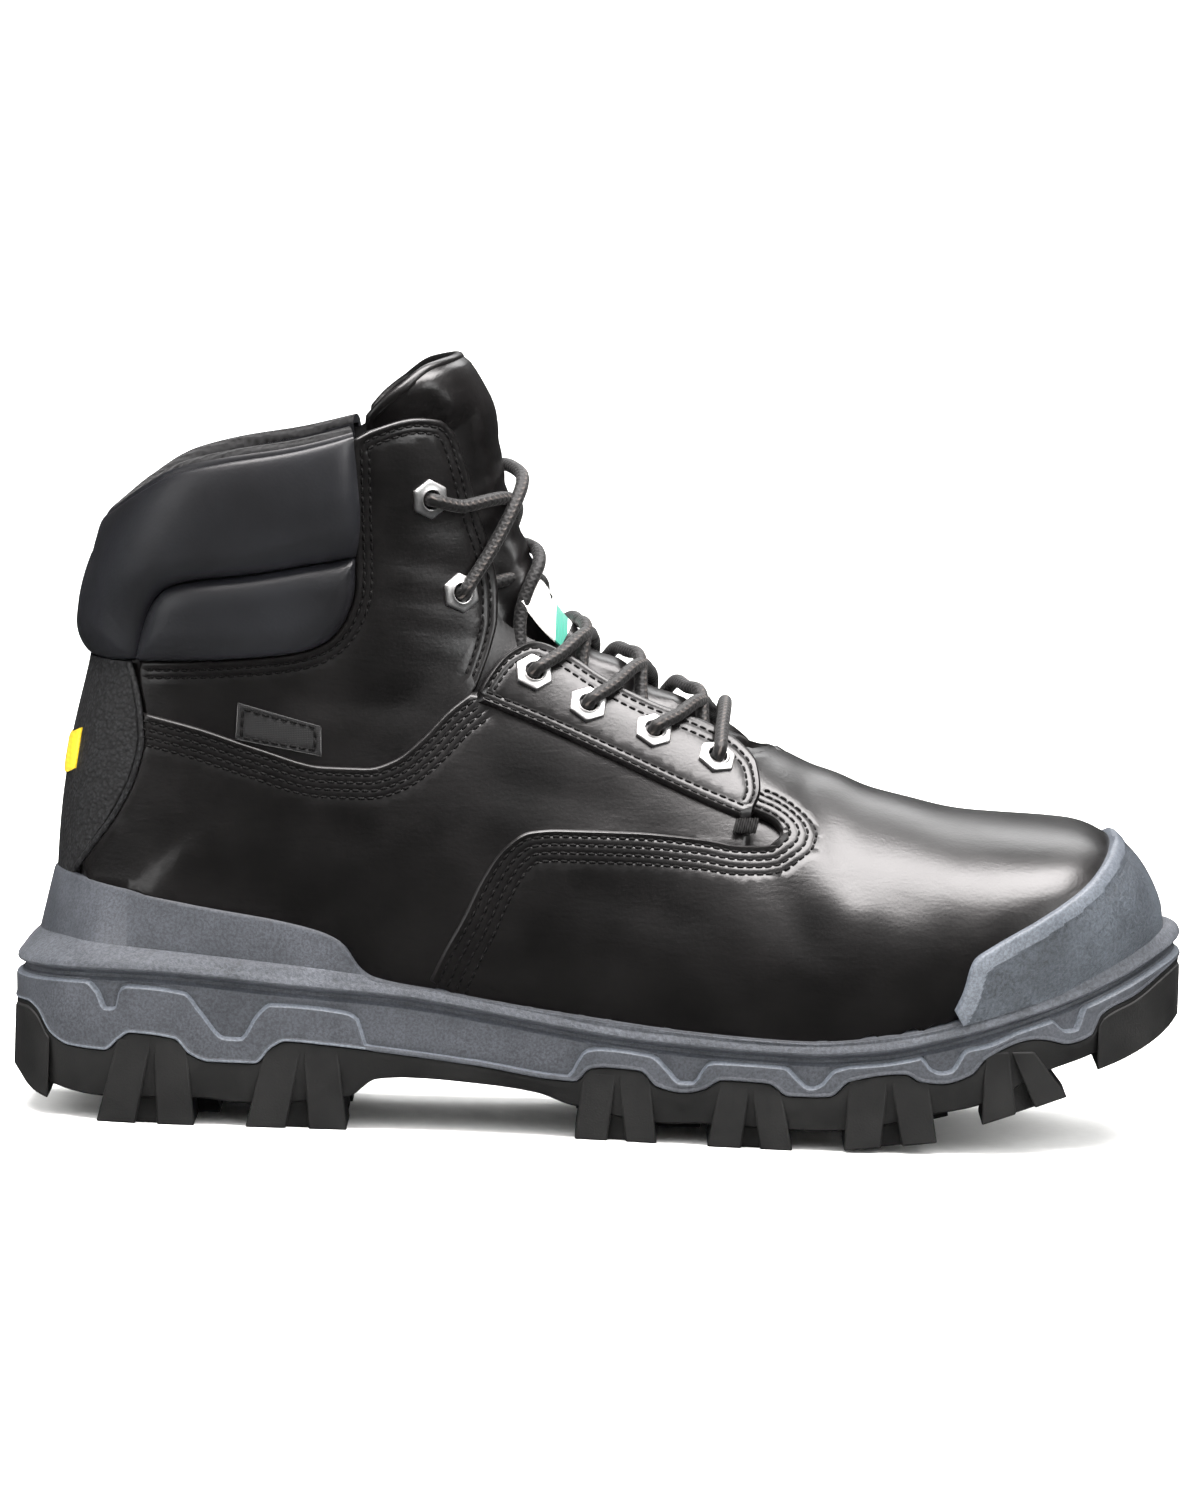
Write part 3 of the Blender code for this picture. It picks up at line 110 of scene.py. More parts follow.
LEDGE_TOP = [(0.0, 1.312), (0.097, 1.276), (0.199, 1.215), (0.306, 1.125), (0.373, 1.036),
             (0.468, 0.928), (0.588, 0.834), (0.675, 0.807), (0.761, 0.887), (0.846, 1.097),
             (0.897, 1.262), (0.947, 1.464), (0.978, 1.602), (1.0, 1.685)]
LEDGE_EDGE = [(0.0, 1.077), (0.106, 1.110), (0.244, 1.033), (0.331, 0.983), (0.418, 0.876),
              (0.470, 0.807), (0.537, 0.740), (0.675, 0.696), (0.736, 0.732), (0.794, 0.834),
              (0.846, 0.959), (0.897, 1.102), (0.949, 1.285), (0.986, 1.440), (1.0, 1.500)]
print("last of", len(SECTIONS), "girth sections")


# %% Curves through the tables
def smooth(table, x, column=1):
    """Value at x of a table, as a curve that keeps to its points and doesn't overshoot."""
    keys = np.array([row[0] for row in table], float)
    values = np.array([row[column] for row in table], float)
    steps = np.diff(keys)
    rates = np.diff(values) / steps
    slopes = np.zeros(len(keys))
    rising = rates[:-1] * rates[1:] > 0
    weight_a, weight_b = 2 * steps[1:] + steps[:-1], steps[1:] + 2 * steps[:-1]
    safe_a, safe_b = np.where(rising, rates[:-1], 1.0), np.where(rising, rates[1:], 1.0)
    slopes[1:-1] = np.where(rising, (weight_a + weight_b) / (weight_a / safe_a + weight_b / safe_b), 0.0)
    slopes[0], slopes[-1] = rates[0], rates[-1]
    x = np.clip(np.asarray(x, float), keys[0], keys[-1])
    i = np.clip(np.searchsorted(keys, x, side="right") - 1, 0, len(steps) - 1)
    u = (x - keys[i]) / steps[i]
    rise = values[i] * (1 + 2 * u) * (1 - u) ** 2 + values[i + 1] * u * u * (3 - 2 * u)
    return rise + steps[i] * u * (1 - u) * (slopes[i] * (1 - u) - slopes[i + 1] * u)


def graph(keys, values):
    """A table of values over rising keys, without keys that all but coincide."""
    rows = []
    for key, value in sorted(zip(keys, values)):
        if not rows or key - rows[-1][0] > 0.0005:
            rows.append((float(key), float(value)))
    return rows


def level(table, x):
    """Height of a sole line at x, in millimetres."""
    return smooth(table, np.asarray(x, float) / LENGTH) * HEEL_HEIGHT


def plan_width(table, x, side, heel_x, toe_x):
    """Half width of a plan whose heel and toe are closed by round ends."""
    width = smooth(table, np.asarray(x, float) / LENGTH, 1 if side == LATERAL else 2) * BALL_WIDTH
    toe = np.clip((x - TOE_START * LENGTH) / (toe_x - TOE_START * LENGTH), 0, 1)
    heel = np.clip((HEEL_END * LENGTH - x) / (HEEL_END * LENGTH - heel_x), 0, 1)
    return width * ((1 - toe ** ROUNDNESS) * (1 - heel ** ROUNDNESS)) ** (1 / ROUNDNESS)


def drift(x):
    """How far the centre line swings towards the big toe."""
    return TOE_DRIFT * np.clip((x / LENGTH - 0.6) / 0.4, 0, 1) ** 2


# %% The last's surface and what lies a distance outside it
COLUMNS = [[(i, row[column]) for i, row in enumerate(SECTIONS)] for column in range(9)]
TOE_X, HEEL_X = SECTIONS[0][0] * LENGTH, SECTIONS[HEEL_SECTION][0] * LENGTH


def section(t):
    """Side-view ends of a girth section: x, z at its foot and x, z at its top."""
    foot_x = smooth(COLUMNS[0], t) * LENGTH
    foot_z = level(FLOOR, foot_x) + smooth(COLUMNS[1], t) * UPPER_RISE
    return foot_x, foot_z, smooth(COLUMNS[2], t) * LENGTH, HEEL_HEIGHT + smooth(COLUMNS[3], t) * UPPER_RISE


def surface(t, h, side):
    """Point of the last's outer face, in millimetres."""
    t, h = np.broadcast_arrays(np.asarray(t, float), np.clip(np.asarray(h, float), 0, 1))
    foot_x, foot_z, top_x, top_z = section(t)
    toe = np.clip((foot_x / LENGTH - TOE_START) / (TOE_X / LENGTH - TOE_START), 0, 1)
    closing = np.clip(1 - toe ** ROUNDNESS, 0, 1) ** (1 / ROUNDNESS)
    width = smooth(COLUMNS[4 if side == LATERAL else 5], t) * BALL_WIDTH * closing
    foot = np.where(t < HEEL_SECTION, plan_width(FEATHER_PLAN, foot_x, side, HEEL_X, TOE_X), 0.0)
    widest, low, high = (smooth(COLUMNS[column], t) for column in (6, 7, 8))
    below = np.clip(1 - h / widest, 0, 1)
    above = np.clip((h - widest) / (1 - widest), 0, 1)
    y_low = foot + (width - foot) * (1 - below ** low) ** (1 / low)
    y_high = width * (1 - above ** high) ** (1 / high)
    x = foot_x + (top_x - foot_x) * h
    return np.stack([x, drift(x) + side * np.where(h < widest, y_low, y_high), foot_z + (top_z - foot_z) * h], -1)


def outward(t, h, side):
    """Unit normal of the last, pointing away from the foot."""
    t, h = np.broadcast_arrays(np.asarray(t, float), np.asarray(h, float))
    along = (surface(np.clip(t + 0.03, 0, LAST_SECTION), h, side)
             - surface(np.clip(t - 0.03, 0, LAST_SECTION), h, side))
    up = surface(t, np.clip(h + 0.003, 0, 1), side) - surface(t, np.clip(h - 0.003, 0, 1), side)
    normal = np.cross(along, up) * side
    return normal / np.maximum(np.linalg.norm(normal, axis=-1, keepdims=True), 1e-9)


FINE_T = np.linspace(0, LAST_SECTION, 1201)
FINE_SECTION = section(FINE_T)


def locate(x, z):
    """Section number and share of the section for side-view points."""
    x, z = np.atleast_1d(np.asarray(x, float)), np.atleast_1d(np.asarray(z, float))
    shape, found = x.shape, []
    foot_x, foot_z, top_x, top_z = (a[None, :] for a in FINE_SECTION)
    for start in range(0, x.size, 3000):
        px = x.reshape(-1, 1)[start:start + 3000]
        pz = z.reshape(-1, 1)[start:start + 3000]
        turn = (top_x - foot_x) * (pz - foot_z) - (top_z - foot_z) * (px - foot_x)
        passed = turn <= 0
        passed[:, -1] = True
        i = np.clip(np.argmax(passed, axis=1), 1, len(FINE_T) - 1)
        rows = np.arange(len(i))
        a, b = turn[rows, i - 1], turn[rows, i]
        u = np.clip(a / np.where(np.abs(a - b) < 1e-12, 1.0, a - b), 0, 1)
        found.append(FINE_T[i - 1] + u * (FINE_T[i] - FINE_T[i - 1]))
    t = np.concatenate(found).reshape(shape)
    fx, fz, tx, tz = section(t)
    h = ((x - fx) * (tx - fx) + (z - fz) * (tz - fz)) / ((tx - fx) ** 2 + (tz - fz) ** 2)
    return t, np.clip(h, 0, 1)


# %% [markdown]
# ## Creases
# Oiled leather bends where the foot bends, and the folds are soft: a trough with a low ridge on
# either side. Each is placed as a short line in the side view, with a width and a depth,
# and every layer of the upper follows them, so that no layer breaks through another.

# %% Soft troughs and ridges of the upper, in millimetres of the side view
CREASES = [
    # x and z of both ends, width, depth
    (208, 96, 222, 66, 7.0, 0.9), (221, 90, 238, 60, 8.0, 0.7), (196, 76, 214, 50, 7.0, 0.6),
    (100, 150, 116, 146, 3.5, 0.20), (96, 141, 112, 139, 3.5, 0.18), (101, 133, 120, 129, 3.0, 0.16),
    (70, 113, 104, 112, 5.0, 0.3), (96, 108, 118, 128, 5.0, 0.22), (60, 84, 92, 76, 9.0, 0.45),
    (128, 92, 160, 86, 7.0, 0.5), (150, 66, 182, 58, 9.0, 0.5), (106, 160, 118, 158, 3.0, 0.15),
]


def creased(points):
    """Height that the creases add at side-view points."""
    total = np.zeros(points.shape[:-1])
    for ax, az, bx, bz, width, depth in CREASES:
        a, way = np.array([ax, az]), np.array([bx - ax, bz - az], float)
        run = np.linalg.norm(way)
        way /= run
        rel = points - a
        along = rel @ way
        beside = np.abs(rel[..., 0] * way[1] - rel[..., 1] * way[0]) / width
        ends = np.clip(np.minimum(along, run - along) / (0.35 * run) + 0.6, 0, 1)
        ends = ends * ends * (3 - 2 * ends)
        total += ends * depth * (0.55 * np.exp(-(beside - 1.5) ** 2 * 1.8) - np.exp(-(beside * 1.5) ** 2))
    return total


def skin(t, h, side, off):
    """Point at a distance off outside the last's face, creases included."""
    base = surface(t, h, side)
    off = np.asarray(off, float) + creased(base[..., [0, 2]])
    return base + outward(t, h, side) * off[..., None]


# %% Small helpers for lines
def side_points(line):
    """A side-view line, given in shares, in millimetres."""
    return np.array([(x * LENGTH, HEEL_HEIGHT + z * UPPER_RISE) for x, z in line])


def resample(points, count, spacing=lambda u: u):
    """A polyline read at stations along it, as a smooth curve through its points."""
    points = np.asarray(points, float)
    run = np.concatenate([[0], np.cumsum(np.linalg.norm(np.diff(points, axis=0), axis=1))])
    at = spacing(np.linspace(0, 1, count)) * run[-1]
    return np.stack([smooth(list(zip(run, points[:, k])), at) for k in range(points.shape[1])], axis=-1)


def spaced(points, pitch):
    """A polyline resampled at a pitch in millimetres."""
    points = np.asarray(points, float)
    run = np.linalg.norm(np.diff(points, axis=0), axis=1).sum()
    return resample(points, max(int(round(run / pitch)), 2) + 1)


def joined(*lines):
    """Lines joined into one ring, corners kept."""
    kept = [line[:-1] if np.allclose(line[-1], following[0], atol=0.3) else line
            for line, following in zip(lines, lines[1:] + lines[:1])]
    return np.concatenate(kept)


def distance(points, line):
    """Distance of each side-view point to a polyline."""
    a, b = line[:-1][None], line[1:][None]
    found = []
    for start in range(0, len(points), 2000):
        p = points[start:start + 2000, None, :]
        share = ((p - a) * (b - a)).sum(-1) / np.maximum(((b - a) ** 2).sum(-1), 1e-9)
        foot = a + (b - a) * np.clip(share, 0, 1)[..., None]
        found.append(np.linalg.norm(p - foot, axis=-1).min(axis=1))
    return np.concatenate(found)


def beside(line, amount):
    """A polyline moved sideways to its left, loops cut out."""
    way = np.gradient(line, axis=0)
    way /= np.maximum(np.linalg.norm(way, axis=1, keepdims=True), 1e-9)
    moved = line + np.stack([-way[:, 1], way[:, 0]], -1) * amount
    return moved[distance(moved, line) > abs(amount) * 0.93]


def inside(points, ring):
    """Which side-view points lie inside a ring."""
    found = np.zeros(len(points), bool)
    closed = np.concatenate([ring, ring[:1]])
    for (ax, az), (bx, bz) in zip(closed[:-1], closed[1:]):
        crosses = (az > points[:, 1]) != (bz > points[:, 1])
        at = ax + (points[:, 1] - az) * (bx - ax) / (bz - az if bz != az else 1.0)
        found ^= crosses & (points[:, 0] < at)
    return found


# %% [markdown]
# ## Colours and nodes
# Hex values are sRGB, as a colour picker shows them, and the shader wants linear light. One
# function turns them. One more adds a node with its settings and its links.

# %% Colour and node helpers
def linear(code, alpha=1.0):
    """A hex sRGB colour in linear light."""
    parts = [int(code[i:i + 2], 16) / 255 for i in (1, 3, 5)]
    return tuple(v / 12.92 if v <= 0.04045 else ((v + 0.055) / 1.055) ** 2.4 for v in parts) + (alpha,)


def per(size):
    """Texture scale that repeats a pattern once in size millimetres."""
    return 1000.0 / size


def add(material, kind, settings=(), stops=(), **inputs):
    """Adds a node. An input is a value or another node's output; underscores stand for spaces.

    The stops of a colour ramp are (place, colour).
    """
    tree = material.node_tree
    made = tree.nodes.new("ShaderNode" + kind)
    for key, value in dict(settings).items():
        setattr(made, key, value)
    for key, value in inputs.items():
        numbered = key[0] == "i" and key[1:].isdigit()
        spot = made.inputs[int(key[1:]) if numbered else key.replace("_", " ")]
        if isinstance(value, bpy.types.NodeSocket):
            tree.links.new(value, spot)
        else:
            spot.default_value = value
    for element, (place, colour) in zip(made.color_ramp.elements if stops else (), stops):
        element.position, element.color = place, colour
    return made


def new_material(name, **sockets):
    """A material with its Principled shader's own sockets set."""
    material = bpy.data.materials.new(name)
    material.use_nodes = True
    shader = material.node_tree.nodes["Principled BSDF"]
    for key, value in sockets.items():
        shader.inputs[key.replace("_", " ")].default_value = value
    return material, shader


def wire(material, output, shader, socket):
    material.node_tree.links.new(output, shader.inputs[socket])


def tint(material, shader, pattern, *stops):
    """The base colour runs between hex colours where the pattern has those values."""
    tone = add(material, "ValToRGB", stops=[(at, linear(code)) for at, code in stops], Fac=pattern)
    wire(material, tone.outputs["Color"], shader, "Base Color")


def grey(value):
    return (value, value, value, 1.0)


# %% [markdown]
# ## Oiled full-grain leather
# The upper is cowhide that keeps its outer grain, drum-dyed black and filled with oil and wax.
# The grain is a net of fine creases around pebbles of half a millimetre to a millimetre, the oil
# lifts to brown where the leather is pulled, and the wax gives a soft, broad gloss.

# %% Oiled leather
def oiled_leather(name, dark, warm, rough):
    leather, shader = new_material(name, IOR=1.5, Coat_Roughness=0.28)
    place = add(leather, "TexCoord").outputs["Object"]
    cloud = add(leather, "TexNoise", Vector=place, Scale=per(26), Detail=4.0, Roughness=0.6).outputs["Fac"]
    tone = add(leather, "ValToRGB", stops=[(0.35, linear(dark)), (0.68, linear(warm))], Fac=cloud).outputs["Color"]
    pebble = add(leather, "TexVoronoi", {"feature": "SMOOTH_F1"}, Vector=place, Scale=per(0.95),
                 Smoothness=0.6).outputs["Distance"]
    pores = add(leather, "TexNoise", Vector=place, Scale=per(0.45), Detail=2.0).outputs["Fac"]
    stretch = add(leather, "Mapping", Vector=place, Rotation=(0.0, 0.5, 0.0), Scale=(1.0, 1.0, 3.2))
    folds = add(leather, "TexNoise", Vector=stretch.outputs["Vector"], Scale=per(9), Detail=5.0,
                Roughness=0.62, Distortion=0.5).outputs["Fac"]
    scuff = add(leather, "TexNoise", Vector=stretch.outputs["Vector"], Scale=per(3.5), Detail=6.0,
                Roughness=0.75).outputs["Fac"]
    scuffed = add(leather, "ValToRGB", stops=[(0.60, grey(0.0)), (0.78, grey(1.0))], Fac=scuff).outputs["Color"]
    colour = add(leather, "Mix", {"data_type": "RGBA"}, Factor=0.3, i6=tone, i7=linear(warm))
    leather.node_tree.links.new(add(leather, "Math", {"operation": "MULTIPLY"}, i0=scuffed, i1=0.35).outputs[0],
                                colour.inputs["Factor"])
    wire(leather, colour.outputs[2], shader, "Base Color")
    gloss = add(leather, "MapRange", Value=cloud, From_Min=0.3, From_Max=0.75, To_Min=rough - 0.05,
                To_Max=rough + 0.07)
    dull = add(leather, "Math", {"operation": "MULTIPLY_ADD"}, i0=scuffed, i1=0.06, i2=gloss.outputs[0])
    wire(leather, dull.outputs[0], shader, "Roughness")
    grain = add(leather, "Bump", Strength=0.12, Distance=0.00022, Height=pebble)
    fine = add(leather, "Bump", Strength=0.12, Distance=0.00008, Height=pores, Normal=grain.outputs["Normal"])
    wavy = add(leather, "Bump", Strength=0.13, Distance=0.0009, Height=folds, Normal=fine.outputs["Normal"])
    wire(leather, wavy.outputs["Normal"], shader, "Normal")
    shader.inputs["Coat Weight"].default_value = 0.22
    return leather


LEATHER = oiled_leather("oiled_full_grain_leather", "#070606", "#0E0C0C", 0.34)
print("made", LEATHER.name)

# %% [markdown]
# ## Collar and heel synthetics
# The collar is a coated textile over foam: smoother than hide, with a cool charcoal cast and a
# fine, even emboss. The heel panel is a harder coated textile with a pebbled, light-eating face.

# %% Collar and heel synthetics
COLLAR_SKIN, shader = new_material("coated_collar_textile", IOR=1.48, Roughness=0.42, Coat_Weight=0.1,
                                   Coat_Roughness=0.35)
place = add(COLLAR_SKIN, "TexCoord").outputs["Object"]
cloud = add(COLLAR_SKIN, "TexNoise", Vector=place, Scale=per(30), Detail=3.0).outputs["Fac"]
tint(COLLAR_SKIN, shader, cloud, (0.3, "#0F0F12"), (0.7, "#16171B"))
emboss = add(COLLAR_SKIN, "TexVoronoi", {"feature": "SMOOTH_F1"}, Vector=place, Scale=per(0.8), Smoothness=0.7)
fine = add(COLLAR_SKIN, "Bump", Strength=0.16, Distance=0.00015, Height=emboss.outputs["Distance"])
ripple = add(COLLAR_SKIN, "TexNoise", Vector=place, Scale=per(14), Detail=2.0).outputs["Fac"]
soft = add(COLLAR_SKIN, "Bump", Strength=0.2, Distance=0.001, Height=ripple, Normal=fine.outputs["Normal"])
wire(COLLAR_SKIN, soft.outputs["Normal"], shader, "Normal")

HEEL_SKIN, shader = new_material("pebbled_heel_textile", IOR=1.48, Roughness=0.62)
place = add(HEEL_SKIN, "TexCoord").outputs["Object"]
cells = add(HEEL_SKIN, "TexVoronoi", Vector=place, Scale=per(1.1)).outputs["Distance"]
tint(HEEL_SKIN, shader, cells, (0.1, "#1E1F21"), (0.6, "#121213"))
bumpy = add(HEEL_SKIN, "Bump", {"invert": True}, Strength=0.7, Distance=0.00035, Height=cells)
wire(HEEL_SKIN, bumpy.outputs["Normal"], shader, "Normal")
print("made", COLLAR_SKIN.name, HEEL_SKIN.name)

# %% [markdown]
# ## Moulded grey polyurethane
# The midsole is foamed polyurethane shot into a mould. Its face is dull and slightly mottled, and
# the ledge around the upper keeps the mould's coarse matt texture, which catches the light. The
# ledge is also a lighter grey, painted light for its upward slope. The toe cap is the same grey
# with a pebble grain.

# %% Midsole and toe cap
def moulded_grey(name, low, high, grain_size, grain_depth, rough):
    foam, shader = new_material(name, IOR=1.47)
    place = add(foam, "TexCoord").outputs["Object"]
    cloud = add(foam, "TexNoise", Vector=place, Scale=per(18), Detail=6.0, Roughness=0.65).outputs["Fac"]
    speck = add(foam, "TexNoise", Vector=place, Scale=per(grain_size), Detail=3.0, Roughness=0.7).outputs["Fac"]
    base = add(foam, "ValToRGB", stops=[(0.3, linear(low)), (0.7, linear(high))], Fac=cloud).outputs["Color"]
    fleck = add(foam, "ValToRGB", stops=[(0.38, grey(0.72)), (0.62, grey(1.25))], Fac=speck).outputs["Color"]
    tint = add(foam, "Mix", {"data_type": "RGBA", "blend_type": "MULTIPLY"}, Factor=1.0, i6=base, i7=fleck)
    wire(foam, tint.outputs[2], shader, "Base Color")
    wire(foam, add(foam, "MapRange", Value=cloud, To_Min=rough - 0.06, To_Max=rough + 0.08).outputs[0], shader,
         "Roughness")
    grain = add(foam, "Bump", Strength=0.8, Distance=grain_depth / 1000, Height=speck)
    broad = add(foam, "Bump", Strength=0.25, Distance=0.0008, Height=cloud, Normal=grain.outputs["Normal"])
    wire(foam, broad.outputs["Normal"], shader, "Normal")
    return foam


FOAM = moulded_grey("moulded_grey_polyurethane", "#2D3035", "#3B3E44", 0.7, 0.12, 0.56)
# Painted light: the ledge's base grey is lighter than the side wall's, standing in for the light on its upward slope;
# its coarse grain is real.
LEDGE_PAINTED_LIGHTER = moulded_grey("matt_polyurethane_painted_lighter", "#36393E", "#4B4E54", 0.9, 0.5, 0.62)
CAP_SKIN = moulded_grey("pebbled_toe_cap_polyurethane", "#2F3338", "#434950", 0.95, 0.7, 0.48)
# This lighter grey is the toe cap's smooth rim; on the midsole it is a painted highlight along the top edges of the
# plates and along the hem's edge at the heel.
RIM_GREY_AND_EDGE_HIGHLIGHT = moulded_grey("smooth_cap_rim_and_painted_edge_highlight", "#474C53", "#5A5F66", 0.8, 0.10, 0.46)

# %% [markdown]
# ## Outsole rubber
# Nitrile rubber, black from its carbon filler, with the dull bloom that a mould leaves and a
# faint grey dust on its edges.

# %% Outsole rubber
RUBBER, shader = new_material("black_nitrile_rubber", IOR=1.52)
place = add(RUBBER, "TexCoord").outputs["Object"]
cloud = add(RUBBER, "TexNoise", Vector=place, Scale=per(12), Detail=5.0, Roughness=0.6).outputs["Fac"]
tint(RUBBER, shader, cloud, (0.3, "#0E0E0E"), (0.75, "#181817"))
wire(RUBBER, add(RUBBER, "MapRange", Value=cloud, To_Min=0.58, To_Max=0.75).outputs[0], shader, "Roughness")
speck = add(RUBBER, "TexNoise", Vector=place, Scale=per(0.5), Detail=2.0).outputs["Fac"]
wire(RUBBER, add(RUBBER, "Bump", Strength=0.5, Distance=0.00012, Height=speck).outputs["Normal"], shader, "Normal")
print("made", RUBBER.name)

# %% [markdown]
# ## Metal, thread, lace, lining and tags
# The eyelets are stamped brass under bright nickel. The thread is bonded black nylon. The lace is
# a round braid with two brown tracer yarns, and its pattern runs along the lace by its own
# coordinates. The lining is a knitted spacer mesh.

# %% Metal and thread
NICKEL, shader = new_material("bright_nickel_plate", Metallic=1.0)
place = add(NICKEL, "TexCoord").outputs["Object"]
brush = add(NICKEL, "TexNoise", Vector=place, Scale=per(0.6), Detail=3.0).outputs["Fac"]
tint(NICKEL, shader, brush, (0.3, "#F2F1EF"), (0.7, "#FAFAF9"))
wire(NICKEL, add(NICKEL, "MapRange", Value=brush, To_Min=0.34, To_Max=0.46).outputs[0], shader, "Roughness")
wire(NICKEL, add(NICKEL, "Bump", Strength=0.1, Distance=0.00002, Height=brush).outputs["Normal"], shader, "Normal")

THREAD, shader = new_material("bonded_black_thread", IOR=1.33, Roughness=0.7)
place = add(THREAD, "TexCoord").outputs["Object"]
ply = add(THREAD, "TexWave", Vector=place, Scale=per(1.6), Distortion=2.0).outputs["Fac"]
tint(THREAD, shader, ply, (0.2, "#050505"), (0.9, "#0D0C0C"))
wire(THREAD, add(THREAD, "Bump", Strength=0.5, Distance=0.0001, Height=ply).outputs["Normal"], shader, "Normal")
print("made", NICKEL.name, THREAD.name)

# %% Lace braid
LACE_BRAID, shader = new_material("braided_polyester_lace", IOR=1.5, Roughness=0.6, Sheen_Weight=0.06)
along = add(LACE_BRAID, "UVMap").outputs["UV"]
axes = add(LACE_BRAID, "SeparateXYZ", Vector=along)
turns = add(LACE_BRAID, "Math", {"operation": "MULTIPLY"}, i0=axes.outputs["Y"], i1=math.tau)
climb = add(LACE_BRAID, "Math", {"operation": "MULTIPLY"}, i0=axes.outputs["X"], i1=math.tau / 1.9)
strands = []
for sign in (1.0, -1.0):
    lean = add(LACE_BRAID, "Math", {"operation": "MULTIPLY_ADD"}, i0=turns.outputs[0], i1=5.0 * sign,
               i2=climb.outputs[0])
    strands.append(add(LACE_BRAID, "Math", {"operation": "SINE"}, i0=lean.outputs[0]).outputs[0])
weave = add(LACE_BRAID, "Math", {"operation": "MAXIMUM"}, i0=strands[0], i1=strands[1])
tracer = add(LACE_BRAID, "Math", {"operation": "MULTIPLY_ADD"}, i0=turns.outputs[0], i1=2.0, i2=0.4)
line = add(LACE_BRAID, "Math", {"operation": "SINE"}, i0=tracer.outputs[0])
yarn = add(LACE_BRAID, "ValToRGB", stops=[(0.86, grey(0)), (0.98, grey(1))], Fac=line.outputs[0])
over_under = add(LACE_BRAID, "ValToRGB", stops=[(0.3, grey(0.15)), (0.8, grey(1.0))], Fac=strands[0])
fleck = add(LACE_BRAID, "Math", {"operation": "MULTIPLY"}, i0=yarn.outputs["Color"],
            i1=over_under.outputs["Color"])
braid = add(LACE_BRAID, "Mix", {"data_type": "RGBA"}, Factor=fleck.outputs[0], i6=linear("#080707"),
            i7=linear("#453E3A"))
wire(LACE_BRAID, braid.outputs[2], shader, "Base Color")
wire(LACE_BRAID, add(LACE_BRAID, "Bump", Strength=0.35, Distance=0.0002, Height=weave.outputs[0]).outputs["Normal"],
     shader, "Normal")
print("made", LACE_BRAID.name)

# %% Lining mesh, binding and tags
LINING, shader = new_material("knitted_spacer_mesh", Roughness=0.85, Sheen_Weight=0.05, IOR=1.3)
place = add(LINING, "TexCoord").outputs["Object"]
squeezed = add(LINING, "Mapping", Vector=place, Scale=(1.0, 1.0, 0.55))
holes = add(LINING, "TexVoronoi", {"feature": "SMOOTH_F1"}, Vector=squeezed.outputs["Vector"], Scale=per(2.3),
            Smoothness=0.25, Randomness=0.35).outputs["Distance"]
tint(LINING, shader, holes, (0.12, "#020202"), (0.42, "#151516"))
wire(LINING, add(LINING, "Bump", Strength=1.0, Distance=0.0009, Height=holes).outputs["Normal"], shader, "Normal")

WEBBING, shader = new_material("woven_black_webbing", Roughness=0.7, Sheen_Weight=0.2)
place = add(WEBBING, "TexCoord").outputs["Object"]
warp = add(WEBBING, "TexWave", {"bands_direction": "Z"}, Vector=place, Scale=per(1.5)).outputs["Fac"]
weft = add(WEBBING, "TexWave", {"bands_direction": "X"}, Vector=place, Scale=per(1.4)).outputs["Fac"]
cloth = add(WEBBING, "Math", {"operation": "MULTIPLY"}, i0=warp, i1=weft).outputs[0]
tint(WEBBING, shader, cloth, (0.1, "#060607"), (0.8, "#0F0F10"))
wire(WEBBING, add(WEBBING, "Bump", Strength=0.3, Distance=0.0003, Height=cloth).outputs["Normal"], shader, "Normal")

YELLOW, shader = new_material("yellow_reflective_film", Roughness=0.38, Coat_Weight=0.3)
place = add(YELLOW, "TexCoord").outputs["Object"]
prisms = add(YELLOW, "TexVoronoi", Vector=place, Scale=per(1.4), Randomness=0.0).outputs["Distance"]
tint(YELLOW, shader, prisms, (0.2, "#D9B817"), (0.6, "#B99A12"))
wire(YELLOW, add(YELLOW, "Bump", Strength=0.3, Distance=0.0002, Height=prisms).outputs["Normal"], shader, "Normal")

LABEL, shader = new_material("woven_white_label", Roughness=0.8, Sheen_Weight=0.15)
place = add(LABEL, "TexCoord").outputs["Object"]
across = add(LABEL, "SeparateXYZ", Vector=place).outputs["X"]
weave = add(LABEL, "TexWave", Vector=place, Scale=per(2.4)).outputs["Fac"]
stripe = add(LABEL, "Math", {"operation": "COMPARE"}, i0=across, i1=-0.0126, i2=0.0016)
white = add(LABEL, "ValToRGB", stops=[(0.2, linear("#DCDCD8")), (0.8, linear("#F0F0EC"))], Fac=weave).outputs["Color"]
striped = add(LABEL, "Mix", {"data_type": "RGBA"}, Factor=stripe.outputs[0], i6=white, i7=linear("#1E7A68"))
wire(LABEL, striped.outputs[2], shader, "Base Color")
wire(LABEL, add(LABEL, "Bump", Strength=0.4, Distance=0.0002, Height=weave).outputs["Normal"], shader, "Normal")
print("made", LINING.name, WEBBING.name, YELLOW.name, LABEL.name)


# %% [markdown]
# ## Solid sheets
# Every panel is a closed sheet: an outer face, an inner face and a rim between them. A panel cut to
# an outline is filled with points, joined by a constrained Delaunay net, and laid on the last. Rings
# of points just inside the outline let the edge roll over as skived leather does.

# %% Mesh objects, in the frame of the solids
ROOM = {"triangles": 0}


def tally(title):
    print(title, ROOM["triangles"], "triangles so far")


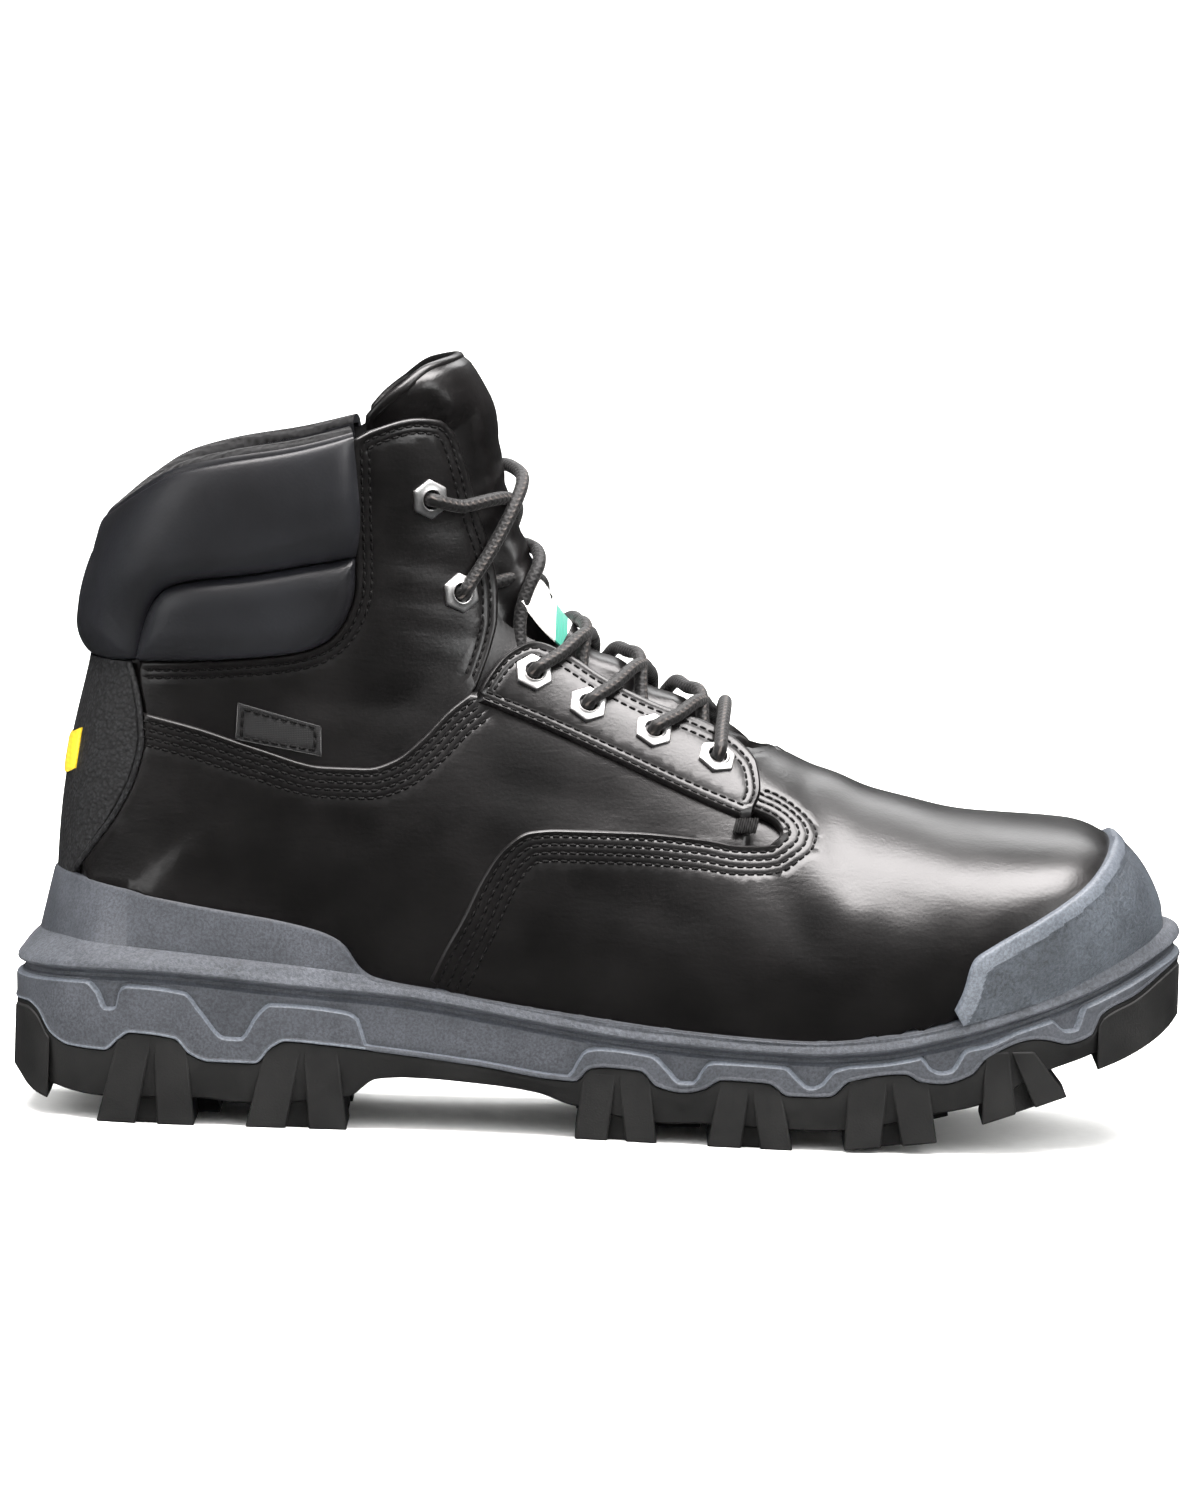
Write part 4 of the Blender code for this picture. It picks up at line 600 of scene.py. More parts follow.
def keep(name, vertices, faces, material, replaced=(), sharp=40.0, uvs=None):
    """A mesh object in metres that rides on the boot's one body."""
    mesh = bpy.data.meshes.new(name)
    mesh.from_pydata(((np.asarray(vertices) + SHIFT) * 0.001).tolist(), [], [list(map(int, face)) for face in faces])
    if uvs is not None:
        layer = mesh.uv_layers.new(name="UVMap")
        corners = np.zeros(len(mesh.loops), dtype=np.int32)
        mesh.loops.foreach_get("vertex_index", corners)
        layer.data.foreach_set("uv", np.asarray(uvs)[corners].reshape(-1))
    work = bmesh.new()
    work.from_mesh(mesh)
    bmesh.ops.recalc_face_normals(work, faces=work.faces)
    work.to_mesh(mesh)
    work.free()
    mesh.shade_smooth()
    mesh.set_sharp_from_angle(angle=math.radians(sharp))
    item = bpy.data.objects.new(name, mesh)
    bpy.context.scene.collection.objects.link(item)
    for one in material if isinstance(material, (list, tuple)) else [material]:
        mesh.materials.append(one)
    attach(item, "root")
    if replaced:
        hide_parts(*([replaced] if isinstance(replaced, str) else replaced))
    ROOM["triangles"] += sum(len(face) - 2 for face in faces)
    return item


def rim_edges(faces):
    """Edges that only one face uses, in that face's order."""
    seen = {}
    for face in faces:
        for a, b in zip(face, list(face[1:]) + [face[0]]):
            seen[(a, b)] = True
    return [edge for edge in seen if (edge[1], edge[0]) not in seen]


def closed_sheet(outer, inner, faces):
    """Vertices and faces of the solid between two sheets that share their faces."""
    count = len(outer)
    shell = [tuple(face) for face in faces]
    shell += [tuple(i + count for i in reversed(face)) for face in faces]
    shell += [(b, a, a + count, b + count) for a, b in rim_edges(faces)]
    return np.concatenate([outer, inner]), shell


def grid_faces(rows, columns):
    """Quads of a grid of points with that many rows and columns of points."""
    index = np.arange(rows * columns).reshape(rows, columns)
    return np.stack([index[:-1, :-1], index[1:, :-1], index[1:, 1:], index[:-1, 1:]], -1).reshape(-1, 4).tolist()


def rolled(gap, thick, radius, low=0.0):
    """Height of a sheet at a distance gap from its cut edge, rounded over at that radius."""
    inward = radius - np.minimum(gap, radius)
    return low + (thick - low) * np.sqrt(np.clip(1 - (inward / radius) ** 2, 0, 1))


def net(outline, pitch, rings=(0.2, 0.5, 0.9), rows=()):
    """Points and triangles that fill an outline; rows are stitch lines that get points of their own."""
    closed = np.concatenate([outline, outline[:1]])
    turn = (closed[:-1, 0] * closed[1:, 1] - closed[1:, 0] * closed[:-1, 1]).sum()
    clouds, reach = [], 0.0
    for ring in rings:
        moved = beside(closed, ring if turn > 0 else -ring)
        clouds.append(moved[inside(moved, outline)])
        reach = ring
    for row in rows:
        for shift in (-0.55, 0.0, 0.55):
            moved = beside(row, shift) if shift else row
            gap = distance(moved, closed)
            clouds.append(moved[inside(moved, outline) & (gap > reach + 0.25)])
    low, high = outline.min(axis=0), outline.max(axis=0)
    xs = np.arange(low[0], high[0], pitch)
    zs = np.arange(low[1], high[1], pitch * 0.87)
    grid = np.array([(x + (pitch / 2 if k % 2 else 0), z) for k, z in enumerate(zs) for x in xs])
    grid = grid[inside(grid, outline)]
    grid = grid[distance(grid, closed) > reach + pitch * 0.45]
    for row in rows:
        grid = grid[distance(grid, row) > 0.55 + pitch * 0.4]
    seeds = np.concatenate([outline] + clouds + [grid])
    edges = [(i, (i + 1) % len(outline)) for i in range(len(outline))]
    cut = delaunay_2d_cdt([Vector(p) for p in seeds], edges, [], 1, 1e-5)
    return np.array([(p.x, p.y) for p in cut[0]]), [list(face) for face in cut[2]], closed


def on_side(side):
    """Lays side-view points on one side of the last, at a distance outside it."""
    def lay(points, off):
        t, h = locate(points[:, 0], points[:, 1])
        return skin(t, h, side, np.broadcast_to(off, t.shape))
    return lay


def cut_panel(name, outline, lay, base, top, material, replaced=(), pitch=2.2, rows=(), bead=0.0,
              radius=0.9, swell=None, rings=(0.2, 0.5, 0.9)):
    """A leather panel cut to an outline and laid on the last between base and top."""
    points, faces, closed = net(np.asarray(outline), pitch, rings, rows)
    gap = distance(points, closed)
    high = base + rolled(gap, top - base, radius, 0.35 * (top - base))
    high = high + bead * np.exp(-((gap - 0.8) / 0.6) ** 2)
    for row in rows:
        high = high - 0.28 * np.exp(-(distance(points, row) / 0.42) ** 2)
    if swell is not None:
        high = high + swell(points, gap)
    vertices, shell = closed_sheet(lay(points, high), lay(points, base), faces)
    return keep(name, vertices, shell, material, replaced)


def both_halves(t, h, off, centre_last=True):
    """One grid across both sides, from one outer edge over the shared line to the other."""
    left, right = skin(t, h, LATERAL, off), skin(t, h, MEDIAL, off)
    if not centre_last:
        left, right = left[:, ::-1], right[:, ::-1]
    middle = (left[:, -1:] + right[:, -1:]) / 2
    return np.concatenate([left[:, :-1], middle, right[:, -2::-1]], axis=1)


def wrapped_sheet(name, t, h, low, high, material, replaced=(), centre_last=True, sharp=40.0):
    """A closed sheet over both sides between the distances low and high."""
    outer, inner = both_halves(t, h, high, centre_last), both_halves(t, h, low, centre_last)
    rows, columns = outer.shape[:2]
    vertices, shell = closed_sheet(outer.reshape(-1, 3), inner.reshape(-1, 3), grid_faces(rows, columns))
    return keep(name, vertices, shell, material, replaced, sharp)


def stitch_row(path, length=1.9, gap=0.55, radius=0.36):
    """Capsules of thread along a path of points and normals: vertices and faces."""
    places, normals = path
    run = np.concatenate([[0], np.cumsum(np.linalg.norm(np.diff(places, axis=0), axis=1))])
    count = max(int(run[-1] / (length + gap)), 1)
    pitch = run[-1] / count
    starts = (np.arange(count) + 0.5) * pitch
    profile = ((-0.5, 0.35, -0.15), (-0.42, 0.85, 0.05), (-0.15, 1.0, 0.2), (0.15, 1.0, 0.2), (0.42, 0.85, 0.05),
               (0.5, 0.35, -0.15))
    sides, vertices, faces = 6, [], []

    def at(distances, values):
        return np.stack([np.interp(distances, run, values[:, k]) for k in range(3)], -1)

    for start in starts:
        stations = start + np.array([row[0] for row in profile]) * length
        spots, ups = at(stations, places), at(stations, normals)
        ahead = spots[-1] - spots[0]
        ahead /= max(np.linalg.norm(ahead), 1e-9)
        first = len(vertices)
        for (_, scale, lift), spot, up in zip(profile, spots, ups):
            across = np.cross(ahead, up)
            for k in range(sides):
                turn = math.tau * k / sides
                vertices.append(spot + up * (lift * radius + math.sin(turn) * radius * scale)
                                + across * math.cos(turn) * radius * scale)
        for ring in range(len(profile) - 1):
            for k in range(sides):
                a, b = first + ring * sides + k, first + ring * sides + (k + 1) % sides
                faces.append((a, b, b + sides, a + sides))
        faces.append(tuple(first + k for k in reversed(range(sides))))
        faces.append(tuple(first + (len(profile) - 1) * sides + k for k in range(sides)))
    return vertices, faces


def thread(name, rows, slot=LEATHER_SLOT, pitch=1.2, **stitch):
    """All stitches of one seam as one object; each row is a line, how it is laid, and its height."""
    vertices, faces = [], []
    for line, lay, off in rows:
        line = spaced(line, pitch)
        places = lay(line, off)
        more, cells = stitch_row((places, lay(line, off + 1.0) - places), **stitch)
        faces += [tuple(i + len(vertices) for i in cell) for cell in cells]
        vertices += more
    return keep(name, np.array(vertices), faces, THREAD, sharp=60.0)


# %% [markdown]
# ## The lines of the pattern
# A shoemaker's pattern is a set of lines on the last. They are read off the photograph as
# x and z of the side view, x from the back of the heel and z from the ground: as shares of the
# length and the upper's rise, or in millimetres.

# %% Pattern lines
RIM = side_points([(0.079, 0.737), (0.092, 0.764), (0.109, 0.789), (0.135, 0.811), (0.170, 0.832), (0.232, 0.856),
                   (0.280, 0.880), (0.309, 0.895), (0.334, 0.904), (0.351, 0.899), (0.363, 0.880)])
THROAT = side_points([(0.6400, 0.392), (0.611, 0.399), (0.580, 0.428), (0.537, 0.458), (0.494, 0.496),
                      (0.459, 0.535), (0.431, 0.561), (0.409, 0.590), (0.4032, 0.623), (0.396, 0.686),
                      (0.385, 0.749), (0.372, 0.829), (0.363, 0.880)])
VAMP_SEAM = side_points([(0.356, 0.022), (0.368, 0.070), (0.384, 0.126), (0.399, 0.186), (0.417, 0.235),
                         (0.439, 0.261), (0.463, 0.265), (0.521, 0.264), (0.584, 0.255), (0.617, 0.246),
                         (0.640, 0.246), (0.650, 0.262), (0.645, 0.300), (0.640, 0.345), (0.642, 0.384)])
CAP_EDGE = side_points([(0.7994, 0.014), (0.806, 0.042), (0.814, 0.089), (0.831, 0.112), (0.869, 0.152),
                        (0.911, 0.204), (0.930, 0.246), (0.934, 0.262), (0.927, 0.272)])
QUARTER_TOP = side_points([(0.1068, 0.424), (0.152, 0.407), (0.204, 0.379), (0.264, 0.352), (0.299, 0.351),
                           (0.320, 0.363), (0.341, 0.393), (0.366, 0.442), (0.385, 0.470)])
EYESTAY_FOOT = side_points([(0.389, 0.454), (0.450, 0.410), (0.5145, 0.359), (0.579, 0.308), (0.617, 0.280)])
EYESTAY_TOP = side_points([(0.389, 0.468), (0.395, 0.490), (0.412, 0.529), (0.4325, 0.544), (0.4585, 0.527),
                           (0.494, 0.489), (0.537, 0.451), (0.581, 0.421), (0.611, 0.391), (0.627, 0.358),
                           (0.631, 0.320), (0.624, 0.286)])
HEEL_EDGE = side_points([(0.0569, 0.172), (0.069, 0.207), (0.089, 0.265), (0.104, 0.331), (0.109, 0.380),
                         (0.107, 0.420), (0.101, 0.474), (0.0965, 0.500)])
PAD_FOOT = np.array([(32.0, 120.6), (46.6, 121.6), (62.6, 123.1), (73.3, 124.7), (81.2, 127.9), (86.3, 134.7),
                     (88.2, 142.7), (88.0, 150.4)])
PAD_FRONT = np.array([(88.0, 150.4), (87.3, 161.4), (86.6, 174.7), (86.2, 181.2)])
PAD_GROOVE = np.array([(31.9, 121.6), (33.5, 129.6), (35.5, 135.9), (39.4, 140.6), (46.0, 142.8), (61.9, 145.3),
                       (77.9, 148.5), (88.0, 150.4)])
COLLAR_RIM = np.array([(16.0, 147.5), (18.6, 151.6), (25.0, 157.6), (32.8, 164.6), (41.6, 170.6), (53.0, 174.2),
                       (71.6, 178.2), (86.2, 182.4)])
SHAFT_TOP = np.array([(86.2, 181.2), (91.4, 184.2), (103.4, 187.4), (108.7, 186.8), (112.6, 183.6)])
SHAFT_FRONT = np.array([(112.6, 183.6), (115.7, 175.4), (119.6, 162.1), (123.2, 151.5), (125.4, 140.9),
                        (125.6, 134.2), (124.4, 127.4), (121.0, 116.6)])
SHAFT_FOOT = np.array([(121.0, 116.6), (110.0, 99.0), (99.0, 88.0), (63.0, 90.0), (34.5, 99.0)])
SHAFT_BACK = np.array([(34.5, 99.0), (34.2, 107.0), (32.5, 115.0), (32.0, 120.6)])
EYELETS = side_points([(0.592, 0.368), (0.538, 0.408), (0.482, 0.447), (0.435, 0.495), (0.3714, 0.625),
                       (0.343, 0.773)])
TONGUE_CREST = side_points([(0.298, 0.905), (0.307, 0.928), (0.322, 0.955), (0.345, 0.986), (0.3680, 0.9999)])
WRAP_TOP = [(0.0, 1.830), (0.057, 1.740), (0.156, 1.599), (0.258, 1.455), (0.280, 1.380), (0.300, 1.170),
            (0.310, 1.120)]
WRAP = WRAP_TOP + [row for row in LEDGE_TOP if row[0] > WRAP_TOP[-1][0] + 0.01]
print("pattern lines read; the shaft's rim runs to z", round(float(RIM[:, 1].max()), 1))

# %% [markdown]
# ## The shell under the panels
# Under the visible panels the upper is one wall around the foot. The outer face shows only at
# seams, and inside it carries the lining, so it is made as two sheets, leather and mesh.

# %% Shell and lining
def shell_grid(rows, columns, drop):
    """Stations of the wall, closed over the toe and open along the throat and the rim."""
    throat_t, throat_h = locate(THROAT[:, 0], THROAT[:, 1])
    throat_t[0], throat_h[0] = np.interp(0.64, [0.588, 0.659], [7.0, 6.0]), 1.0
    throat = graph(throat_t, throat_h)
    rim_t, rim_h = locate(RIM[:, 0], RIM[:, 1])
    rim_h[0] = 0.0
    rim = graph(rim_h, rim_t - drop)
    start = throat[0][0]
    front = np.linspace(0, start, int(rows * 0.4))
    share = (1 - np.cos(np.pi * np.linspace(0, 1, columns))) / 2
    t, h = [], []
    for station in front:
        t.append(np.full(columns, station))
        h.append(share)
    for station in np.linspace(0, 1, rows - len(front) + 1)[1:]:
        height = share.copy()
        for _ in range(4):
            reach = smooth(rim, height)
            line_t = start + (reach - start) * station
            height = share * np.clip(smooth(throat, line_t) - drop * 0.06, 0, 1)
        t.append(line_t)
        h.append(height)
    return np.array(t), np.array(h), throat, rim


shell_t, shell_h, THROAT_GRAPH, RIM_GRAPH = shell_grid(110, 36, 0.10)
WALL_THICK, LINING_THICK, RIM_PADDING = 2.0, 0.9, 3.0


def shell_sheet(name, low, high, material, replaced=()):
    """A closed sheet of the wall; the heel and the toe are shared lines, the throat is open."""
    halves = [(skin(shell_t, shell_h, side, high), skin(shell_t, shell_h, side, low)) for side in (LATERAL, MEDIAL)]
    rows, columns = shell_t.shape
    heel = shell_t[:, 0] >= HEEL_SECTION
    top = shell_t[:, -1] <= THROAT_GRAPH[0][0] + 1e-6
    index = np.arange(2 * rows * columns).reshape(2, rows, columns)
    index[1, heel, 0] = index[0, heel, 0]
    index[1, top, -1] = index[0, top, -1]
    index[1, 0, :] = index[0, 0, :]
    sheets = []
    for which in (0, 1):
        points = np.concatenate([halves[0][which].reshape(-1, 3), halves[1][which].reshape(-1, 3)])
        for shared, column in ((heel, 0), (top, columns - 1)):
            mean = (halves[0][which][shared, column] + halves[1][which][shared, column]) / 2
            points[index[0][shared, column]] = mean
        sheets.append(points)
    faces = []
    for side in (0, 1):
        grid = index[side]
        for i in range(rows - 1):
            for j in range(columns - 1):
                ring = (grid[i, j], grid[i + 1, j], grid[i + 1, j + 1], grid[i, j + 1])
                faces.append([int(k) for k in (ring if side == 0 else ring[::-1])])
    used = sorted({k for face in faces for k in face})
    places = {k: n for n, k in enumerate(used)}
    faces = [[places[k] for k in face] for face in faces]
    vertices, shell = closed_sheet(sheets[0][used], sheets[1][used], faces)
    return keep(name, vertices, shell, material, replaced)


WALL = np.full(shell_t.shape, WALL_THICK)
shell_sheet("upper_shell", -WALL, np.zeros_like(WALL), LEATHER, "upper")
where = surface(shell_t, shell_h, LATERAL)
padding = RIM_PADDING * np.clip((where[..., 2] - 121) / 14, 0, 1) * np.clip((84 - where[..., 0]) / 12, 0, 1)
shell_sheet("upper_lining", -WALL - LINING_THICK - padding, -WALL - 0.05, LINING)
tally("shell and lining")

# %% [markdown]
# ## Ankle panel, quarters and eyestays
# The ankle panel is the lowest layer, then the quarters, then the vamp, and the eyestay lies over
# all. Each cut edge is skived and burnished, so it rolls over in less than a millimetre and shows as
# a thin light line. The rows of stitches pull the leather down into shallow channels.

# %% Stitch rows, as distances from an edge line
def rows_beside(line, distances, trim=0.0):
    """Lines beside an edge, to its left where the distance is positive."""
    found = []
    fine = spaced(line, 1.0)
    for amount in distances:
        moved = beside(fine, amount)
        run = np.concatenate([[0], np.cumsum(np.linalg.norm(np.diff(moved, axis=0), axis=1))])
        kept = (run >= trim) & (run <= run[-1] - trim)
        found.append(moved[kept])
    return found


shaft = joined(spaced(PAD_FOOT, 1.5), spaced(PAD_FRONT, 1.5), spaced(SHAFT_TOP, 1.5), spaced(SHAFT_FRONT, 1.5),
               spaced(SHAFT_FOOT, 3.0), spaced(SHAFT_BACK, 2.0))
shaft_edge = np.concatenate([PAD_FOOT[:-1], PAD_FRONT[1:]])
rear_rows = rows_beside(shaft_edge, (-2.3, -4.3), 1.5)
front_edge = np.concatenate([SHAFT_TOP[:-1], SHAFT_FRONT])
front_rows = rows_beside(front_edge, (-2.1, -4.0), 1.5)
for side, word in SIDES:
    cut_panel(f"ankle_panel_{word}", shaft, on_side(side), 0.15, 1.15, LEATHER,
              rows=rear_rows + front_rows, bead=0.25)
    thread(f"ankle_stitches_{word}", [(row, on_side(side), 0.95) for row in rear_rows + front_rows])

upto = VAMP_SEAM[:10]
quarter_foot_x = np.linspace(HEEL_EDGE[0, 0] + 1.0, upto[0, 0] + 4.0, 40)
quarter_foot = np.stack([quarter_foot_x, level(WRAP, quarter_foot_x) - 1.0], -1)
quarter_front = spaced(upto + np.array([2.5, -2.5]), 2.0)
quarter_stay = spaced(EYESTAY_FOOT[::-1] + np.array([2.0, 3.0]), 2.0)
quarter_top = spaced(QUARTER_TOP[::-1], 1.5)
quarter_back = spaced(HEEL_EDGE[:-2][::-1] + np.array([0.6, 0.0]), 1.5)
quarter = joined(quarter_foot, quarter_front, quarter_stay, quarter_top, quarter_back)
top_rows = rows_beside(QUARTER_TOP[::-1], (2.1, 4.1, 6.1, 8.1), 1.0)
for side, word in SIDES:
    cut_panel(f"quarter_leather_{word}", quarter, on_side(side), 0.6, 2.05, LEATHER,
              f"quarter_{word}", rows=top_rows, bead=0.2)
    thread(f"quarter_stitches_{word}", [(row, on_side(side), 1.85) for row in top_rows])

stay_foot, stay_top = spaced(EYESTAY_FOOT, 1.5), spaced(EYESTAY_TOP[::-1], 1.2)
stay = joined(stay_foot, stay_top)
foot_rows = rows_beside(EYESTAY_FOOT, (1.5, 3.1), 0.8)
edge_rows = rows_beside(EYESTAY_TOP[::-1], (1.9, 3.7), 1.2)
for side, word in SIDES:
    cut_panel(f"eyestay_leather_{word}", stay, on_side(side), 0.6, 3.1, LEATHER,
              f"eyestay_{word}", rows=foot_rows + edge_rows, bead=0.35, pitch=2.0)
    thread(f"eyestay_stitches_{word}", [(row, on_side(side), 2.9) for row in foot_rows + edge_rows])
tally("side panels and their stitches")


# %% [markdown]
# ## The vamp
# The vamp goes over the top of the foot, where a side view sees it edge on. It is cut in a second
# chart instead, as a pattern maker would flatten it: one axis runs along the foot, the other is the
# girth from the top line down, to the outer side below zero and to the inner side above.

# %% The flattened chart of the forefoot
CHART_T = np.linspace(0, 9.5, 191)
CHART_H = (1 + np.cos(np.pi * np.linspace(0, 1, 181))) / 2
CHART_F = np.linspace(0, 1, 241)
chart_section = section(CHART_T)
CHART_X = (chart_section[0] + chart_section[2]) / 2
GIRTH, GIRTH_BACK = {}, {}
for side in (LATERAL, MEDIAL):
    rings = surface(CHART_T[:, None], CHART_H[None, :], side)
    run = np.concatenate([np.zeros((len(CHART_T), 1)),
                          np.cumsum(np.linalg.norm(np.diff(rings, axis=1), axis=-1), axis=1)], axis=1)
    GIRTH[side] = run
    GIRTH_BACK[side] = np.array([np.interp(CHART_F * row[-1], row, CHART_H) for row in run])


def flatten(t, h, side):
    """Chart place of points of the last, in millimetres."""
    t, h = np.atleast_1d(t), np.atleast_1d(h)
    spot = np.interp(t, CHART_T, np.arange(len(CHART_T)))
    i = np.clip(spot.astype(int), 0, len(CHART_T) - 2)
    part = spot - i
    girth = np.array([(1 - p) * np.interp(one, CHART_H[::-1], GIRTH[side][k][::-1])
                      + p * np.interp(one, CHART_H[::-1], GIRTH[side][k + 1][::-1])
                      for one, k, p in zip(h, i, part)])
    return np.stack([np.interp(t, CHART_T, CHART_X), side * girth], -1)


def on_front(points, off):
    """Lays chart points on the forefoot, at a distance outside the last."""
    off = np.broadcast_to(off, len(points)).astype(float)
    t = np.interp(-points[:, 0], -CHART_X, CHART_T)
    spot = np.interp(t, CHART_T, np.arange(len(CHART_T)))
    i = np.clip(spot.astype(int), 0, len(CHART_T) - 2)
    part = spot - i
    result = np.zeros((len(points), 3))
    for side in (LATERAL, MEDIAL):
        own = (points[:, 1] * side >= 0) if side == MEDIAL else (points[:, 1] < 0)
        if not own.any():
            continue
        total = (1 - part[own]) * GIRTH[side][i[own], -1] + part[own] * GIRTH[side][i[own] + 1, -1]
        share = np.clip(np.abs(points[own, 1]) / total, 0, 1) * (len(CHART_F) - 1)
        k = np.clip(share.astype(int), 0, len(CHART_F) - 2)
        f = share - k
        table = GIRTH_BACK[side]
        near = (1 - f) * table[i[own], k] + f * table[i[own], k + 1]
        far = (1 - f) * table[i[own] + 1, k] + f * table[i[own] + 1, k + 1]
        h = (1 - part[own]) * near + part[own] * far
        result[own] = skin(t[own], h, side, off[own])
    return result


def above_ledge(t, add):
    """Share of a section where it rises clear of the sole's ledge."""
    foot_x, foot_z, _, top_z = section(t)
    return (level(LEDGE_TOP, foot_x + 3) + add - foot_z) / (top_z - foot_z)


# %% Vamp and its four rows of stitches
TUCK = side_points([(0.650, 0.262), (0.642, 0.278), (0.622, 0.296), (0.608, 0.320), (0.606, 0.350), (0.615, 0.376)])
tucked = np.concatenate([VAMP_SEAM[10:12], TUCK[1:]])
seam_visible = np.concatenate([spaced(VAMP_SEAM[:11], 1.2), spaced(tucked, 1.2)[1:]])
# The cap's rear line ends where it meets the top of the last.
cap_line = spaced(CAP_EDGE, 0.5)
cap_line = cap_line[:int(np.argmax(locate(cap_line[:, 0], cap_line[:, 1])[1] > 0.9995))]
cap_line = spaced(cap_line, 2.0)
vamp_lines = {}
for side in (LATERAL, MEDIAL):
    rear = flatten(*locate(seam_visible[:, 0], seam_visible[:, 1]), side)
    cap_t, cap_h = locate(cap_line[:, 0], cap_line[:, 1])
    front = flatten(np.clip(cap_t - 0.16, 0.05, 9), cap_h, side)
    foot_t = np.linspace(locate(*seam_visible[0])[0][0], cap_t[0] - 0.16, 40)
    foot = flatten(foot_t, np.clip(above_ledge(foot_t, -0.8), 0.01, 1), side)
    vamp_lines[side] = (rear, front, foot)
rear_l, front_l, foot_l = vamp_lines[LATERAL]
rear_m, front_m, foot_m = vamp_lines[MEDIAL]
throat_end = flatten(np.array([THROAT_GRAPH[0][0] - 0.05]), np.array([0.9999]), MEDIAL)
vamp = np.concatenate([rear_l, throat_end, rear_m[::-1], foot_m[1:-1], front_m, front_l[::-1], foot_l[::-1][1:-1]])
vamp_rows = {}
for side, rear, sign in ((LATERAL, rear_l, -1), (MEDIAL, rear_m, 1)):
    vamp_rows[side] = rows_beside(rear[:-6], [sign * v for v in (2.1, 4.2, 6.3, 8.4)], 0.6)
cut_panel("vamp_leather", vamp, on_front, 0.6, 2.4, LEATHER, "vamp", pitch=2.1,
          rows=vamp_rows[LATERAL] + vamp_rows[MEDIAL], bead=0.3, radius=1.1,
          swell=lambda points, gap: -1.5 * np.exp(-((points[:, 0] - throat_end[0, 0]) / 9.0) ** 2
                                                  - (points[:, 1] / 20.0) ** 2))
thread("vamp_stitches", [(row, on_front, 2.2) for side in (LATERAL, MEDIAL) for row in vamp_rows[side]])
tally("vamp")

# %% Bar tack where vamp, quarter and eyestay meet
TACK, TACK_WIDTH, TACK_BARS = np.array([192.6, 81.4]), 5.2, 9
for side, word in SIDES:
    bars = []
    for k in range(TACK_BARS):
        x = TACK[0] - TACK_WIDTH / 2 + TACK_WIDTH * k / (TACK_BARS - 1)
        bars.append((np.array([(x - 0.5, TACK[1] - 2.7), (x + 0.1, TACK[1]), (x + 0.6, TACK[1] + 2.7)]),
                     on_side(side), 3.5 if k % 2 else 3.25))
    thread(f"bar_tack_{word}", bars, pitch=1.0, length=TACK_WIDTH - 0.2, gap=0.3, radius=0.42)

# %% [markdown]
# ## Toe cap
# A hard cap of grained polyurethane is moulded over the toe. Its body has a coarse pebble and its
# rear edge is a smooth raised rim that narrows over the top of the toe.

# %% Toe cap
def line_crossing(table, add):
    """Section whose top lies on a sole line raised by add, at the front of the toe."""
    ts = np.linspace(0, 3, 1201)
    _, _, top_x, top_z = section(ts)
    return float(ts[np.argmax(top_z >= level(table, top_x) + add)])


def toe_front(table, add):
    """How far forward the upper reaches on a sole line raised by add."""
    foot_x, foot_z, top_x, top_z = section(line_crossing(table, add))
    share = np.clip((level(table, foot_x) + add - foot_z) / (top_z - foot_z), 0, 1)
    return float(foot_x + (top_x - foot_x) * share)


def heel_back(table, add):
    """How far back the upper reaches on a sole line."""
    ts = np.linspace(HEEL_SECTION, LAST_SECTION, 1201)
    foot_x, foot_z, _, _ = section(ts)
    return float(foot_x[np.argmax(foot_z >= level(table, foot_x) + add)])


def between(line_a, line_b, rows, columns, spacing, crowd=lambda u: u):
    """Side-view grid between two lines, and where it lies on the last."""
    a, b = resample(line_a, rows, spacing), resample(line_b, rows, spacing)
    share = crowd(np.linspace(0, 1, columns))[None, :]
    grid = a[:, None, :] * (1 - share[..., None]) + b[:, None, :] * share[..., None]
    (ta, ha), (tb, hb) = locate(a[:, 0], a[:, 1]), locate(b[:, 0], b[:, 1])
    t = ta[:, None] * (1 - share) + tb[:, None] * share
    h = ha[:, None] * (1 - share) + hb[:, None] * share
    return grid, t, h


cap_foot_x = np.linspace(cap_line[0, 0] + 2.0, toe_front(LEDGE_TOP, -0.5), 30)
cap_foot = np.stack([cap_foot_x, level(LEDGE_TOP, cap_foot_x) - 0.5], -1)
grid, t, h = between(cap_foot, cap_line, 84, 44, lambda u: np.sin(np.pi / 2 * u),
                     lambda u: 1 - (1 - u) ** 1.6)
t[-1] = np.linspace(line_crossing(LEDGE_TOP, -0.5), locate(*cap_line[-1])[0][0], t.shape[1])
t[-1] = np.interp(1 - (1 - np.linspace(0, 1, t.shape[1])) ** 1.6, np.linspace(0, 1, t.shape[1]), t[-1])
h[-1] = 1.0
t, h = t.T, h.T
places = surface(t, h, LATERAL)
edge_places = surface(t[-1], h[-1], LATERAL)
gap = np.array([np.linalg.norm(row[:, None, :] - edge_places[None, :, :], axis=-1).min(axis=1) for row in places])
fore = np.clip((places[..., 0] - 255) / 30, 0, 1)
rim_width = 4.2 - 0.6 * fore
rim = 1 / (1 + np.exp((gap - rim_width) * 2.6))
high = 1.0 + rolled(gap, 2.9, 1.3) + 0.65 * rim * rolled(gap, 1.0, 1.0)
low = np.full_like(high, 0.9)
cap_low_t, cap_high_t = both_halves(t, h, low), both_halves(t, h, high)
rows, columns = cap_high_t.shape[:2]
vertices, shell = closed_sheet(cap_high_t.reshape(-1, 3), cap_low_t.reshape(-1, 3), grid_faces(rows, columns))
cap_piece = keep("toe_cap_moulding", vertices, shell, [CAP_SKIN, RIM_GREY_AND_EDGE_HIGHLIGHT], "toe_cap")
